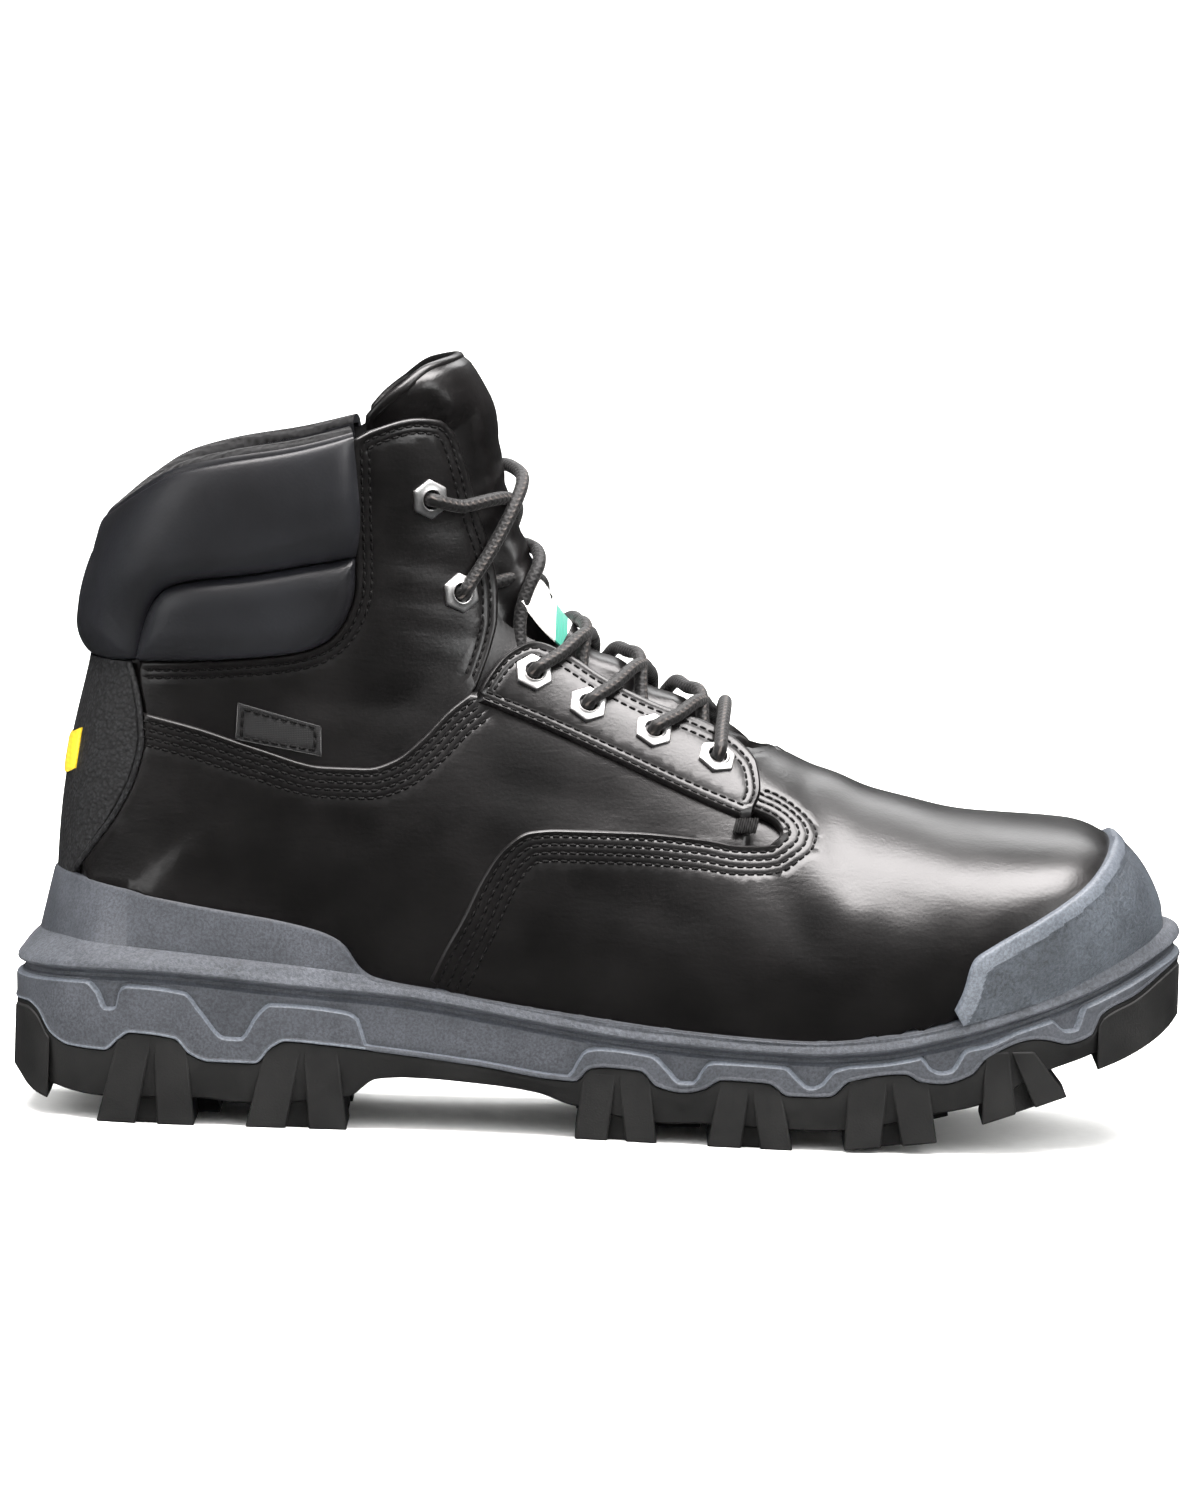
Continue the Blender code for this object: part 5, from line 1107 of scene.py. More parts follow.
rim_share = np.concatenate([rim[:, :-1], rim[:, -1:], rim[:, -2::-1]], axis=1).reshape(-1)
tally("toe cap")

# %% The smooth rim of the cap takes its own finish
for polygon in cap_piece.data.polygons:
    shares = [rim_share[i % (rows * columns)] for i in polygon.vertices]
    polygon.material_index = 1 if sum(shares) / len(shares) > 0.5 else 0

# %% [markdown]
# ## Heel panel
# A counter of pebbled textile closes the back, with a corded seam along its front edge. It is laid
# as one strip around the heel.

# %% Heel panel and its corded seam
def back_section(z):
    """Section whose foot lies at height z on the back of the heel."""
    ts = np.linspace(HEEL_SECTION, LAST_SECTION, 1201)
    return float(ts[np.argmax(section(ts)[1] >= z)])


edge = np.concatenate([[HEEL_EDGE[0] + np.array([-0.7, -2.6])], HEEL_EDGE])
line = resample(edge, 46)
edge_t, edge_h = locate(line[:, 0], line[:, 1])
centre_t = np.linspace(back_section(edge[0, 1] + 1.0), back_section(edge[-1, 1]), 46)
share = 1 - np.cos(np.pi / 2 * np.linspace(0, 1, 26))
t = centre_t[:, None] + (edge_t - centre_t)[:, None] * share[None, :]
h = edge_h[:, None] * share[None, :]
gap = np.linalg.norm(surface(t, h, LATERAL) - surface(edge_t, edge_h, LATERAL)[:, None], axis=-1)
high = 0.5 + rolled(gap, 1.5, 0.8)
wrapped_sheet("heel_counter", t, h, np.full_like(t, 0.3), high, HEEL_SKIN, "heel_panel",
              centre_last=False)


def tube(name, route, radius, sides, material, replaced=(), sharp=60.0, twist=0.0, cap=True):
    """A round tube along a route, with coordinates along and around it."""
    route = np.asarray(route, float)
    radius = np.broadcast_to(radius, len(route))
    ahead = np.gradient(route, axis=0)
    ahead /= np.maximum(np.linalg.norm(ahead, axis=1, keepdims=True), 1e-9)
    up = np.array([0.0, 0.0, 1.0])
    if abs(ahead[0] @ up) > 0.9:
        up = np.array([1.0, 0.0, 0.0])
    run = np.concatenate([[0], np.cumsum(np.linalg.norm(np.diff(route, axis=0), axis=1))])
    vertices, uvs = [], []
    for k, (spot, way) in enumerate(zip(route, ahead)):
        across = np.cross(way, up)
        across /= max(np.linalg.norm(across), 1e-9)
        up = np.cross(across, way)
        for n in range(sides + 1):
            turn = math.tau * n / sides
            vertices.append(spot + (across * math.cos(turn) + up * math.sin(turn)) * radius[k])
            uvs.append((run[k], n / sides + twist * run[k]))
    faces = []
    ring = sides + 1
    for k in range(len(route) - 1):
        for n in range(sides):
            a = k * ring + n
            faces.append((a, a + 1, a + ring + 1, a + ring))
    if cap:
        faces.append(tuple(range(sides - 1, -1, -1)))
        faces.append(tuple((len(route) - 1) * ring + n for n in range(sides)))
    item = keep(name, np.array(vertices), faces, material, replaced, sharp, uvs)
    work = bmesh.new()
    work.from_mesh(item.data)
    bmesh.ops.remove_doubles(work, verts=work.verts, dist=1e-6)
    bmesh.ops.recalc_face_normals(work, faces=work.faces)
    work.to_mesh(item.data)
    work.free()
    return item


for side, word in SIDES:
    cord_line = resample(HEEL_EDGE, 60)
    t, h = locate(cord_line[:, 0], cord_line[:, 1])
    tube(f"heel_cord_{word}", skin(t, h, side, np.full(len(t), 1.75)), 0.85, 8, HEEL_SKIN)
tally("heel panel")

# %% [markdown]
# ## Padded collar
# The collar is foam under the coated textile, quilted by one deep channel: a roll around the back
# and the rim, and a lower pad on each side. The roll turns over the rim and meets the mesh inside.

# %% Collar roll
roll_foot = np.concatenate([[(19.6, 120.4), (25.5, 120.2)], PAD_GROOVE])
grid, t, h = between(roll_foot, COLLAR_RIM, 120, 34, lambda u: 1 - np.cos(np.pi / 2 * u),
                     lambda u: (1 - np.cos(np.pi * u)) / 2)
t[0] = np.interp((1 - np.cos(np.pi * np.linspace(0, 1, 34))) / 2, [0, 1], [back_section(120.6), back_section(147.5)])
h[0] = 0.0
flat = grid.reshape(-1, 2)
foot_gap = distance(flat, spaced(roll_foot, 1.0)).reshape(t.shape)
front_gap = distance(flat, spaced(PAD_FRONT, 1.0)).reshape(t.shape)
crown = np.sqrt(1 - (1 - np.clip(foot_gap / 11.0, 0, 1)) ** 2)
front = np.sqrt(1 - (1 - np.clip((front_gap + 0.4) / 7.0, 0, 1)) ** 2)
rim_gap = distance(flat, spaced(COLLAR_RIM, 1.0)).reshape(t.shape)
fall = np.sqrt(1 - (1 - np.clip(rim_gap / 12.0, 0, 1)) ** 2)
swell = 0.4 + 6.6 * crown * (0.25 + 0.75 * front) * (0.45 + 0.55 * fall)
rim_t, rim_h = t[:, -1:], h[:, -1:]
rim_swell = swell[:, -1:]
arc = np.linspace(0, np.pi, 14)[None, 1:]
TURN_IN = 5.6
roll_off = (rim_swell - TURN_IN) / 2 + (rim_swell + TURN_IN) / 2 * np.cos(arc)
rise = 0.085 * np.sin(arc)
down = np.linspace(0, 1, 8)[None, 1:]
t = np.concatenate([t, rim_t + rise, rim_t - 0.42 * down], axis=1)
h = np.concatenate([h, np.repeat(rim_h, 13, 1), np.repeat(rim_h, 7, 1)], axis=1)
off = np.concatenate([swell, roll_off, np.zeros_like(rim_swell) - TURN_IN + 0.5 * down ** 2], axis=1)
t, h, off = t[::-1].T, h[::-1].T, off[::-1].T
roll = both_halves(t, h, off)
inner_off = np.concatenate([np.full((34, 1), 0.25), np.linspace(0.25, -4.4, 20)[:, None]])
inner_t = t.copy()
inner_t[34:] = np.minimum(t[34:], t[33:34])
back = both_halves(inner_t, h, np.minimum(off - 0.3, inner_off))
vertices, shell = closed_sheet(roll.reshape(-1, 3), back.reshape(-1, 3), grid_faces(*roll.shape[:2]))
collar = keep("collar_roll", vertices, shell, [COLLAR_SKIN, LINING], "collar_pad")
per_row, turned = roll.shape[1] - 1, 34 + 1
for polygon in collar.data.polygons[turned * per_row:(roll.shape[0] - 1) * per_row]:
    polygon.material_index = 1

pad = joined(spaced(PAD_FOOT, 1.4), spaced(PAD_GROOVE[::-1], 1.4))
for side, word in SIDES:
    item = cut_panel(f"collar_pad_{word}", pad, on_side(side), 0.2, 1.0, COLLAR_SKIN,
                     pitch=1.6, rings=(0.2, 0.6, 1.2, 2.0, 3.0), radius=0.6,
                     swell=lambda points, gap: 4.9 * np.sqrt(1 - (1 - np.clip(gap / 8.0, 0, 1)) ** 2))
tally("collar")

# %% [markdown]
# ## Padded tongue
# The tongue is foam in leather, wide at the top, with a bound edge. It passes under the throat's
# edges and swells between them.

# %% Tongue
def tongue_rise(t):
    """How far the tongue swells out of the throat, section by section."""
    return np.interp(t, [8.0, 9.0, 10.0, 11.5, 13.0, 14.0, 16.0, 17.2], [-1.6, 0.4, 2.2, 2.4, 0.4, -0.6, 0.2, 2.2])


crest_t, crest_h = locate(TONGUE_CREST[:, 0], TONGUE_CREST[:, 1])
crest_h[-1] = 1.0
CREST = graph(crest_h, crest_t)
root = THROAT_GRAPH[0][0] + 0.2
rows, columns = 96, 26
low_edge = CREST[0][0]
height = low_edge + (1 - low_edge) * (0.5 - 0.5 * np.cos(np.pi * np.linspace(0, 1, columns)))
share = np.linspace(0, 1, rows)[:, None]
h = np.repeat(height[None, :], rows, 0)
t = root + (smooth(CREST, h) - 0.05 - root) * share
edge = smooth(THROAT_GRAPH, t) + 0.02
free = np.clip((h - edge) / np.minimum(0.05, 0.5 * (1 - edge) + 0.002), 0, 1)
free = free * free * (3 - 2 * free)
above = np.clip((t - smooth(RIM_GRAPH, h) - 0.1) / 0.3, 0, 1)
free = np.maximum(free, above)
outer = -3.4 * (1 - free) + tongue_rise(t) * free
waves = 0.9 * np.sin(t * 7.0 + 0.8) * np.clip((h - 0.88) / 0.06, 0, 1) * np.clip((17.0 - t) / 2.0, 0, 1)
outer = outer + waves * free * np.clip((12.0 - t) / 2.0, 0.15, 1)
near_edge = np.clip((h - low_edge) / (1 - low_edge) / 0.35, 0, 1)
near_top = np.clip((1 - share) / 0.10, 0, 1)
full = 4.5 + 3.5 * np.clip((t - 9.0) / 7.0, 0, 1)
thick = full * (0.3 + 0.7 * np.sqrt(near_edge * (2 - near_edge))) * (0.3 + 0.7 * np.sqrt(near_top * (2 - near_top)))
middle = outer - full / 2
tongue = wrapped_sheet("tongue_pad", t, h, middle - thick / 2, middle + thick / 2, LEATHER,
                       "tongue", sharp=75.0)
side_edge = both_halves(t[8:, :1].repeat(2, 1), h[8:, :1].repeat(2, 1), (middle[8:, :1]).repeat(2, 1))
top_edge = both_halves(t[-1:], h[-1:], middle[-1:])[0]
binding = np.concatenate([side_edge[:-1, 0], top_edge, side_edge[:-1, -1][::-1]])
tube("tongue_binding", spaced(binding, 2.0), 1.5, 10, LEATHER)
tally("tongue")


# %% [markdown]
# ## Midsole
# The midsole is one moulding: a cup that rises around the heel, a sloped ledge under the upper, a
# shadow line, and a side wall with raised plates whose upper edges run as trapezoids. It is lofted
# from rings around the boot. Where a ring follows the wavy edge of a plate, the next ring is moved
# square to that edge, so the step keeps its width on the slopes.

# %% Rings around the sole
HEM = [(0.0, 28.7), (4.1, 29.1), (6.8, 27.7), (11.0, 21.8), (16.4, 19.3), (25.8, 18.9), (29.7, 22.1), (32.4, 23.9),
       (44.4, 22.8), (48.5, 18.9), (53.9, 17.0), (66.0, 16.9), (69.8, 21.0), (73.8, 23.0), (84.5, 22.3),
       (124.7, 18.2),
       (143.5, 15.6), (150.2, 15.2), (154.1, 18.8), (158.1, 19.3), (167.4, 18.9), (171.6, 15.1), (178.3, 13.8),
       (183.6, 14.8), (188.9, 17.7), (200.9, 17.4), (206.3, 14.3), (217.0, 14.6), (222.2, 18.8), (236.8, 21.1),
       (240.9, 19.2), (246.2, 18.8), (254.2, 21.3), (258.0, 25.6), (271.2, 30.6), (275.3, 30.1), (279.3, 29.2),
       (285.9, 31.2), (288.4, 36.3), (297.6, 41.0), (309.3, 48.4), (311.0, 49.0)]
PLATES = [(0.0, 36.4), (5.2, 36.5), (19.9, 36.7), (23.5, 33.8), (25.5, 29.9), (28.1, 30.1), (29.3, 35.0),
          (32.0, 36.2),
          (46.7, 34.9), (50.9, 30.3), (57.8, 23.3), (61.8, 23.2), (66.1, 29.7), (69.5, 32.5), (89.6, 31.0),
          (92.8, 29.0),
          (95.0, 22.6), (124.7, 19.2), (148.0, 16.4), (152.6, 23.3), (156.6, 24.1), (170.0, 23.0), (174.1, 19.7),
          (177.7, 16.4), (180.9, 16.5), (184.7, 21.6), (187.4, 22.2), (204.8, 21.8), (208.9, 18.4), (211.6, 16.6),
          (214.2, 17.2), (218.1, 21.4), (238.0, 25.1), (240.7, 25.5), (243.5, 22.5), (246.2, 21.6), (248.8, 22.1),
          (252.7, 27.5), (257.9, 28.8), (275.1, 35.4), (279.2, 32.6), (281.8, 32.8), (284.3, 39.1), (305.3, 48.3),
          (311.0, 50.6)]
WEB = [(0.0, 15.0), (8.0, 9.0), (10.1, 8.2), (23.5, 6.4), (51.6, 6.9), (62.3, 6.0), (90.3, 8.3), (98.0, 13.4),
       (106.0, 14.0), (126.0, 13.0), (140.0, 11.4), (149.0, 8.6), (173.2, 5.0), (183.9, 5.5), (208.0, 5.0),
       (220.8, 5.4), (245.7, 10.5),
       (256.3, 12.7), (274.1, 21.4), (286.9, 25.6), (300.0, 32.0), (311.0, 40.0)]
AROUND = (1 - np.cos(np.pi * np.linspace(0, 1, 401))) / 2


def closed_loop(lateral, medial):
    """One ring: the outer side from heel to toe, then the inner side back."""
    return np.concatenate([lateral, medial[-2:0:-1]])


def inset(loop, amount):
    """A ring moved inwards in plan, or outwards where the amount is negative."""
    way = np.roll(loop[:, :2], -1, axis=0) - np.roll(loop[:, :2], 1, axis=0)
    way /= np.linalg.norm(way, axis=1, keepdims=True)
    moved = loop.copy()
    moved[:, 0] -= way[:, 1] * amount
    moved[:, 1] += way[:, 0] * amount
    return moved


def sole_loop(amount):
    """The sole's outline, moved inwards by an amount."""
    xs = LENGTH * AROUND
    sides = [np.stack([xs, side * plan_width(SOLE_PLAN, xs, side, 0.0, LENGTH) + drift(xs), 0 * xs], -1)
             for side in (LATERAL, MEDIAL)]
    return inset(closed_loop(*sides), amount)


def upper_loop(table, add, amount):
    """The upper's outline along a sole line raised by add, moved inwards by an amount."""
    rear, front = heel_back(table, add), toe_front(table, add)
    xs = rear + (front - rear) * AROUND
    t, h = locate(xs, level(table, xs) + add)
    sides = []
    for side in (LATERAL, MEDIAL):
        points = surface(t, h, side)
        points[:, 0] = xs
        points[0, 1], points[-1, 1] = drift(xs[0]), drift(xs[-1])
        sides.append(points)
    return inset(closed_loop(*sides), amount)


def rounded(loop, reach=4.5):
    """A ring evened out in plan over a reach in millimetres."""
    steps = np.linalg.norm(np.roll(loop[:, :2], -1, axis=0) - loop[:, :2], axis=1)
    run = np.concatenate([[0], np.cumsum(steps)[:-1]])
    apart = np.abs(run[:, None] - run[None, :])
    apart = np.minimum(apart, steps.sum() - apart)
    weight = np.exp(-(apart / reach) ** 2) * (steps + np.roll(steps, 1))[None, :]
    moved = loop.copy()
    moved[:, :2] = weight @ loop[:, :2] / weight.sum(axis=1, keepdims=True)
    return moved


def mid(a, b, u):
    """A ring a share u of the way from ring a to ring b."""
    return a * (1 - u) + b * u


def at_level(loop, heights):
    moved = loop.copy()
    moved[:, 2] = heights
    return moved


def along_edge(amount, heights, square):
    """A ring of the sole that lies a distance square to a wavy edge of those heights."""
    ring = at_level(sole_loop(amount), heights)
    ahead = np.roll(ring, -1, axis=0) - np.roll(ring, 1, axis=0)
    plan = np.linalg.norm(ahead[:, :2], axis=1)
    rise = ahead[:, 2] / np.maximum(plan, 1e-6)
    rise = (np.roll(rise, 1) + 2 * rise + np.roll(rise, -1)) / 4
    tilt = np.sqrt(1 + rise ** 2)
    steps = np.linalg.norm(np.diff(np.concatenate([ring, ring[:1]])[:, :2], axis=0), axis=1)
    run = np.concatenate([[0], np.cumsum(steps)])
    at = (run[:-1] - square * rise / tilt) % run[-1]
    looped = np.concatenate([ring, ring[:1]])
    moved = np.stack([np.interp(at, run, looped[:, k]) for k in range(2)], -1)
    return np.column_stack([moved, heights + square / tilt])


def loft(name, loops, material, replaced=(), sharp=32.0):
    """A solid of rings joined in turn, its first and last ring closed across the boot."""
    size = len(loops[0])
    faces = []
    index = np.arange(size)
    for k in range(len(loops) - 1):
        a, b = k * size + index, k * size + (index + 1) % size
        faces += np.stack([a, b, b + size, a + size], -1).tolist()
    for k in (0, len(loops) - 1):
        for i in range(size // 2):
            ring = list(dict.fromkeys(k * size + j % size for j in (i, i + 1, size - i - 1, size - i)))
            faces.append(ring[::-1] if k == 0 else ring)
    return keep(name, np.concatenate(loops), faces, material, replaced, sharp)


# %% Midsole
outline = sole_loop(0.0)
xs = np.clip(outline[:, 0], 0, LENGTH)
ledge_edge = level(LEDGE_EDGE, xs)
hem = smooth(HEM, xs)
plates = np.clip(smooth(PLATES, xs), hem + 0.9, ledge_edge - 3.2)
cup = rounded(upper_loop(WRAP, 0.0, -0.6))
cup_z = level(WRAP, cup[:, 0])
shelf = rounded(upper_loop(LEDGE_TOP, 0.0, -0.8))
shelf = inset(shelf, -2.7 - 3.6 * np.clip(1 - shelf[:, 0] / 45.0, 0, 1) ** 1.5)
shelf_z = np.minimum(level(LEDGE_TOP, shelf[:, 0]), level(WRAP, shelf[:, 0]) - 1.2)
base = at_level(upper_loop(FLOOR, 0.2, -0.8), 0.0)
base[:, 2] = level(FLOOR, base[:, 0]) - 0.3
ledge_out = at_level(sole_loop(1.3), ledge_edge + 2.5)
shelf_ring = at_level(shelf, shelf_z)
CUP_RINGS = [(0.5, -2.5), (0.0, -0.3), (-0.7, 0.15), (-1.5, 0.0), (-2.1, -0.5), (-2.4, -1.3)]
LEDGE_RINGS = [(1.3, 2.5), (0.75, 1.9), (0.4, 1.2), (0.3, 0.5), (0.55, 0.0), (1.2, -0.35), (2.6, -0.7), (3.2, -1.3),
               (2.9, -2.1), (2.0, -2.7), (1.6, -3.1)]
loops = [base] + [at_level(inset(cup, amount), cup_z + rise) for amount, rise in CUP_RINGS] + [shelf_ring]
for u in (0.06, 0.2, 0.4, 0.6, 0.8, 0.95):
    ring = mid(shelf_ring, ledge_out, u)
    ring[:, 2] += 0.5 * math.sin(math.pi * u)
    loops.append(ring)
loops += [at_level(sole_loop(amount), ledge_edge + rise) for amount, rise in LEDGE_RINGS]
for u in (0.35, 0.7):
    loops.append(mid(at_level(sole_loop(1.6), ledge_edge - 3.1), along_edge(1.9, plates, 0.75), u))
for amount, square in ((1.9, 0.75), (1.85, 0.3), (1.3, 0.0), (0.7, -0.2), (0.25, -0.6), (0.12, -1.1)):
    loops.append(along_edge(amount, plates, square))
for u in (0.33, 0.66):
    loops.append(mid(along_edge(0.12, plates, -1.1), along_edge(0.3, hem, 1.0), u))
for amount, square in ((0.32, 0.95), (0.1, 0.6), (0.0, 0.25), (0.15, 0.0), (0.6, -0.12), (5.0, -0.1)):
    loops.append(along_edge(amount, hem, square))
loops.append(at_level(sole_loop(9.0), hem - 1.0))
midsole = loft("midsole_moulding", loops, [FOAM, LEDGE_PAINTED_LIGHTER, RIM_GREY_AND_EDGE_HIGHLIGHT], "midsole")
size = len(outline)
# Painted light on the midsole: slot 1 makes the ledge a lighter grey for its upward slope, and slot 2 paints a
# highlight along the rounded top edges of the plates and along the hem's edge at the heel.
PAINTED_LIGHT_SLOTS = [
    # first ring, last ring, material slot of the painted light, how far forward
    (7, 17, 1, 2 * LENGTH), (28, 31, 2, LENGTH), (36, 38, 2, 95.0),
]
for first, last, finish, reach in PAINTED_LIGHT_SLOTS:
    for polygon in midsole.data.polygons[first * size:last * size]:
        if polygon.center.x * 1000 - SHIFT[0] < reach:
            polygon.material_index = finish
tally("midsole")

# %% [markdown]
# ## Outsole
# The outsole is pressed rubber: a band under the midsole, and deep lugs that grip. A side lug flares
# towards the ground and has a wedge-shaped slot in its face, so it is built from two half blocks
# and a set-back block between them. Centre lugs stand between the rows of side lugs.

# %% Rubber band under the midsole
web = np.minimum(smooth(WEB, xs), hem - 2.0)
band = [at_level(sole_loop(9.0), hem - 1.4), along_edge(5.0, hem, -0.25), along_edge(1.0, hem, -0.2),
        along_edge(0.55, hem, -0.5), along_edge(0.4, hem, -1.1)]
lower = at_level(sole_loop(1.3), web + 0.6)
for u in (0.3, 0.6, 0.9):
    band.append(mid(along_edge(0.45, hem, -1.2), lower, u))
band.append(lower)
WEB_RINGS = [(1.9, 0.15), (2.6, 0.0), (10.0, 0.6), (20.0, 0.9)]
band += [at_level(sole_loop(amount), web + rise) for amount, rise in WEB_RINGS]
loft("outsole_band", band, RUBBER, "outsole")

# %% Lugs
SIDE_LUGS = [
    # foot from, foot to, root from, root to, ground at both ends
    (0.6, 9.6, 0.8, 9.8, 5.2, 3.2), (24.4, 50.4, 29.5, 47.5, 0.0, 0.0), (63.8, 90.6, 68.5, 87.5, 0.0, 0.0),
    (150.6, 172.2, 152.4, 169.8, 0.0, 0.0), (185.4, 207.8, 188.2, 204.2, 0.0, 0.0),
    (221.2, 245.6, 222.0, 242.8, 0.5, 3.2), (257.2, 279.8, 257.6, 270.5, 8.0, 15.2),
    (289.0, 310.4, 288.6, 309.6, 22.4, 31.8),
]
REACH, SLOT_DEPTH = 27.0, 3.2
END_LUGS = {
    0: ((0.7, 10.9), [(0.0, 12.0), (2.7, 9.6), (4.5, 7.6), (7.0, 5.8), (11.0, 4.4)]),
    7: ((287.6, 310.3), [(287.0, 21.6), (295.0, 24.4), (303.0, 28.2), (308.0, 31.6), (311.0, 34.5)]),
}


def soften(item, width, angle):
    """A narrow bevel along the edges sharper than an angle, its width in millimetres."""
    edge = item.modifiers.new("soft_edge", "BEVEL")
    edge.width, edge.segments, edge.limit_method, edge.angle_limit = width / 1000, 2, "ANGLE", math.radians(angle)


def rubber_blocks(name, blocks):
    """Convex blocks between two plan reaches, bevelled."""
    vertices, faces = [], []
    for outline, outer, inner in blocks:
        first, n = len(vertices), len(outline)
        for reach in (outer, inner):
            vertices += [(x, reach(x, z), z) for x, z in outline]
        for i in range(n):
            j = (i + 1) % n
            faces.append((first + i, first + j, first + n + j, first + n + i))
        faces.append(tuple(first + i for i in range(n))[::-1])
        faces.append(tuple(first + n + i for i in range(n)))
    item = keep(name, np.array(vertices), faces, RUBBER, sharp=35.0)
    soften(item, 0.45, 25)


def wrapped_lug(name, side, foot, ground, columns=18):
    """The lug that follows the round end of the sole, its lower edge along a table of heights."""
    u = np.linspace(0, 1, columns)
    x = foot[0] + (foot[1] - foot[0]) * u
    grid = []
    for level_share in (0.0, 0.45, 1.0):
        low, high = smooth(ground, x), smooth(HEM, x) - 1.3
        z = low + (high - low) * level_share
        reach = plan_width(SOLE_PLAN, x, side, -0.6, LENGTH + 0.6) + 0.5 * (1 - level_share)
        grid.append(np.stack([x, drift(x) + side * reach, z], -1))
    inner = [np.stack([row[:, 0], drift(row[:, 0]) + side * 1.5, row[:, 2]], -1) for row in grid]
    rows = grid + inner[::-1]
    vertices = np.concatenate(rows)
    faces = [(a * columns + i, a * columns + i + 1, (a + 1) % 6 * columns + i + 1, (a + 1) % 6 * columns + i)
             for a in range(6) for i in range(columns - 1)]
    faces += [tuple(a * columns for a in range(6)), tuple(a * columns + columns - 1 for a in range(5, -1, -1))]
    item = keep(name, vertices, faces, RUBBER, sharp=35.0)
    soften(item, 0.5, 30)


def lug_outline(foot_a, foot_b, root_a, root_b, ground_a, ground_b, top, share_a, share_b, taper):
    """Part of a lug's face between two shares of its width, the upper ends drawn in by taper."""
    def at(u, v):
        low_x, high_x = foot_a + (foot_b - foot_a) * u, root_a + (root_b - root_a) * u
        low_z = ground_a + (ground_b - ground_a) * u
        return low_x + (high_x - low_x) * v, low_z + (top - low_z) * v
    return [at(share_a, 0.0), at(share_b, 0.0), at(share_b - taper[1], 1.0), at(share_a + taper[0], 1.0)]


for side, word in SIDES:
    blocks = []
    for k, (foot_a, foot_b, root_a, root_b, ground_a, ground_b) in enumerate(SIDE_LUGS):
        top = float(smooth(HEM, (root_a + root_b) / 2)) - 1.6

        def outer(x, z, set_back=0.0, top=top):
            flare = 1.2 * np.clip(1 - z / max(top, 1.0), 0, 1)
            edge = plan_width(SOLE_PLAN, x, side, -4.0, LENGTH + 4.0) - 0.5
            return float(side * (edge + flare - set_back) + drift(x))

        def inner(x, z):
            return float(side * max(plan_width(SOLE_PLAN, x, side, -4.0, LENGTH + 4.0) - REACH, 17.0) + drift(x))

        if k == 0 or k == len(SIDE_LUGS) - 1:
            wrapped_lug(f"{'heel' if k == 0 else 'toe'}_lug_{word}", side, *END_LUGS[k])
            continue
        shape = (foot_a, foot_b, root_a, root_b, ground_a, ground_b, top)
        blocks.append((lug_outline(*shape, 0.0, 0.40, (0.0, -0.09)), outer, inner))
        blocks.append((lug_outline(*shape, 0.62, 1.0, (-0.09, 0.0)), outer, inner))
        blocks.append((lug_outline(*shape, 0.38, 0.64, (0.0, 0.0)),
                       lambda x, z, o=outer: o(x, z, SLOT_DEPTH), inner))
    rubber_blocks(f"side_lugs_{word}", blocks)

GROUND = [(0, 0.0), (222, 0.0), (245, 3.3), (257, 7.9), (280, 15.2)]
cores = []
for foot_a, foot_b in ((40.0, 56.0), (76.0, 90.0), (166.0, 184.0), (200.0, 217.0), (234.0, 250.0), (262.0, 276.0)):
    low_a, low_b = float(smooth(GROUND, foot_a)), float(smooth(GROUND, foot_b))
    top = float(smooth(WEB, (foot_a + foot_b) / 2)) + 2.0
    for sign in (-1, 1):
        cores.append(([(foot_a, low_a), (foot_b, low_b), (foot_b - 2.0, top), (foot_a + 2.0, top)],
                      lambda x, z, s=sign: float(s * 15.0 + drift(x)),
                      lambda x, z, s=sign: float(s * 1.6 + drift(x))))
rubber_blocks("centre_lugs", cores)
tally("outsole")

# %% [markdown]
# ## Footbed
# The removable footbed keeps its solid and takes a brushed cloth.

# %% Footbed cloth
FOOTBED, shader = new_material("brushed_footbed_cloth", Roughness=0.9, Sheen_Weight=0.35)
place = add(FOOTBED, "TexCoord").outputs["Object"]
nap = add(FOOTBED, "TexNoise", Vector=place, Scale=per(0.9), Detail=4.0).outputs["Fac"]
tint(FOOTBED, shader, nap, (0.3, "#232325"), (0.7, "#36363A"))
wire(FOOTBED, add(FOOTBED, "Bump", Strength=0.6, Distance=0.0004, Height=nap).outputs["Normal"], shader, "Normal")
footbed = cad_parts["insole"].data
footbed.materials.clear()
footbed.materials.append(FOOTBED)
print("footbed dressed")


# %% [markdown]
# ## Eyelets
# Each eyelet is a hexagonal plate with a rolled lip around a round hole, clenched through the
# leather. Its profile runs from a six-sided rim to a round lip.

# %% Twelve hexagonal eyelets
EYELET_FLATS = 9.4
EYESTAY_TOP_OFF, PANEL_TOP_OFF = 3.15, 1.2
TURNS = np.linspace(0, math.tau, 60, endpoint=False)
HEX = (EYELET_FLATS / 2) / np.cos((TURNS + math.pi / 6) % (math.pi / 3) - math.pi / 6)
HEX = np.minimum(HEX, EYELET_FLATS / 2 * 1.135)
EYELET_PROFILE = [
    # share of the hexagon, round radius, height
    (1.0, 0.0, -0.4), (1.0, 0.0, 0.42), (0.975, 0.0, 0.66), (0.93, 0.0, 0.80), (0.82, 0.0, 0.86), (0.5, 1.75, 0.9),
    (0.12, 2.85, 1.0), (0.0, 3.02, 1.15), (0.0, 2.86, 1.28), (0.0, 2.64, 1.22), (0.0, 2.48, 1.0), (0.0, 2.42, 0.5),
    (0.0, 2.40, -1.6), (0.0, 2.80, -1.6), (0.0, 2.90, -0.4),
]


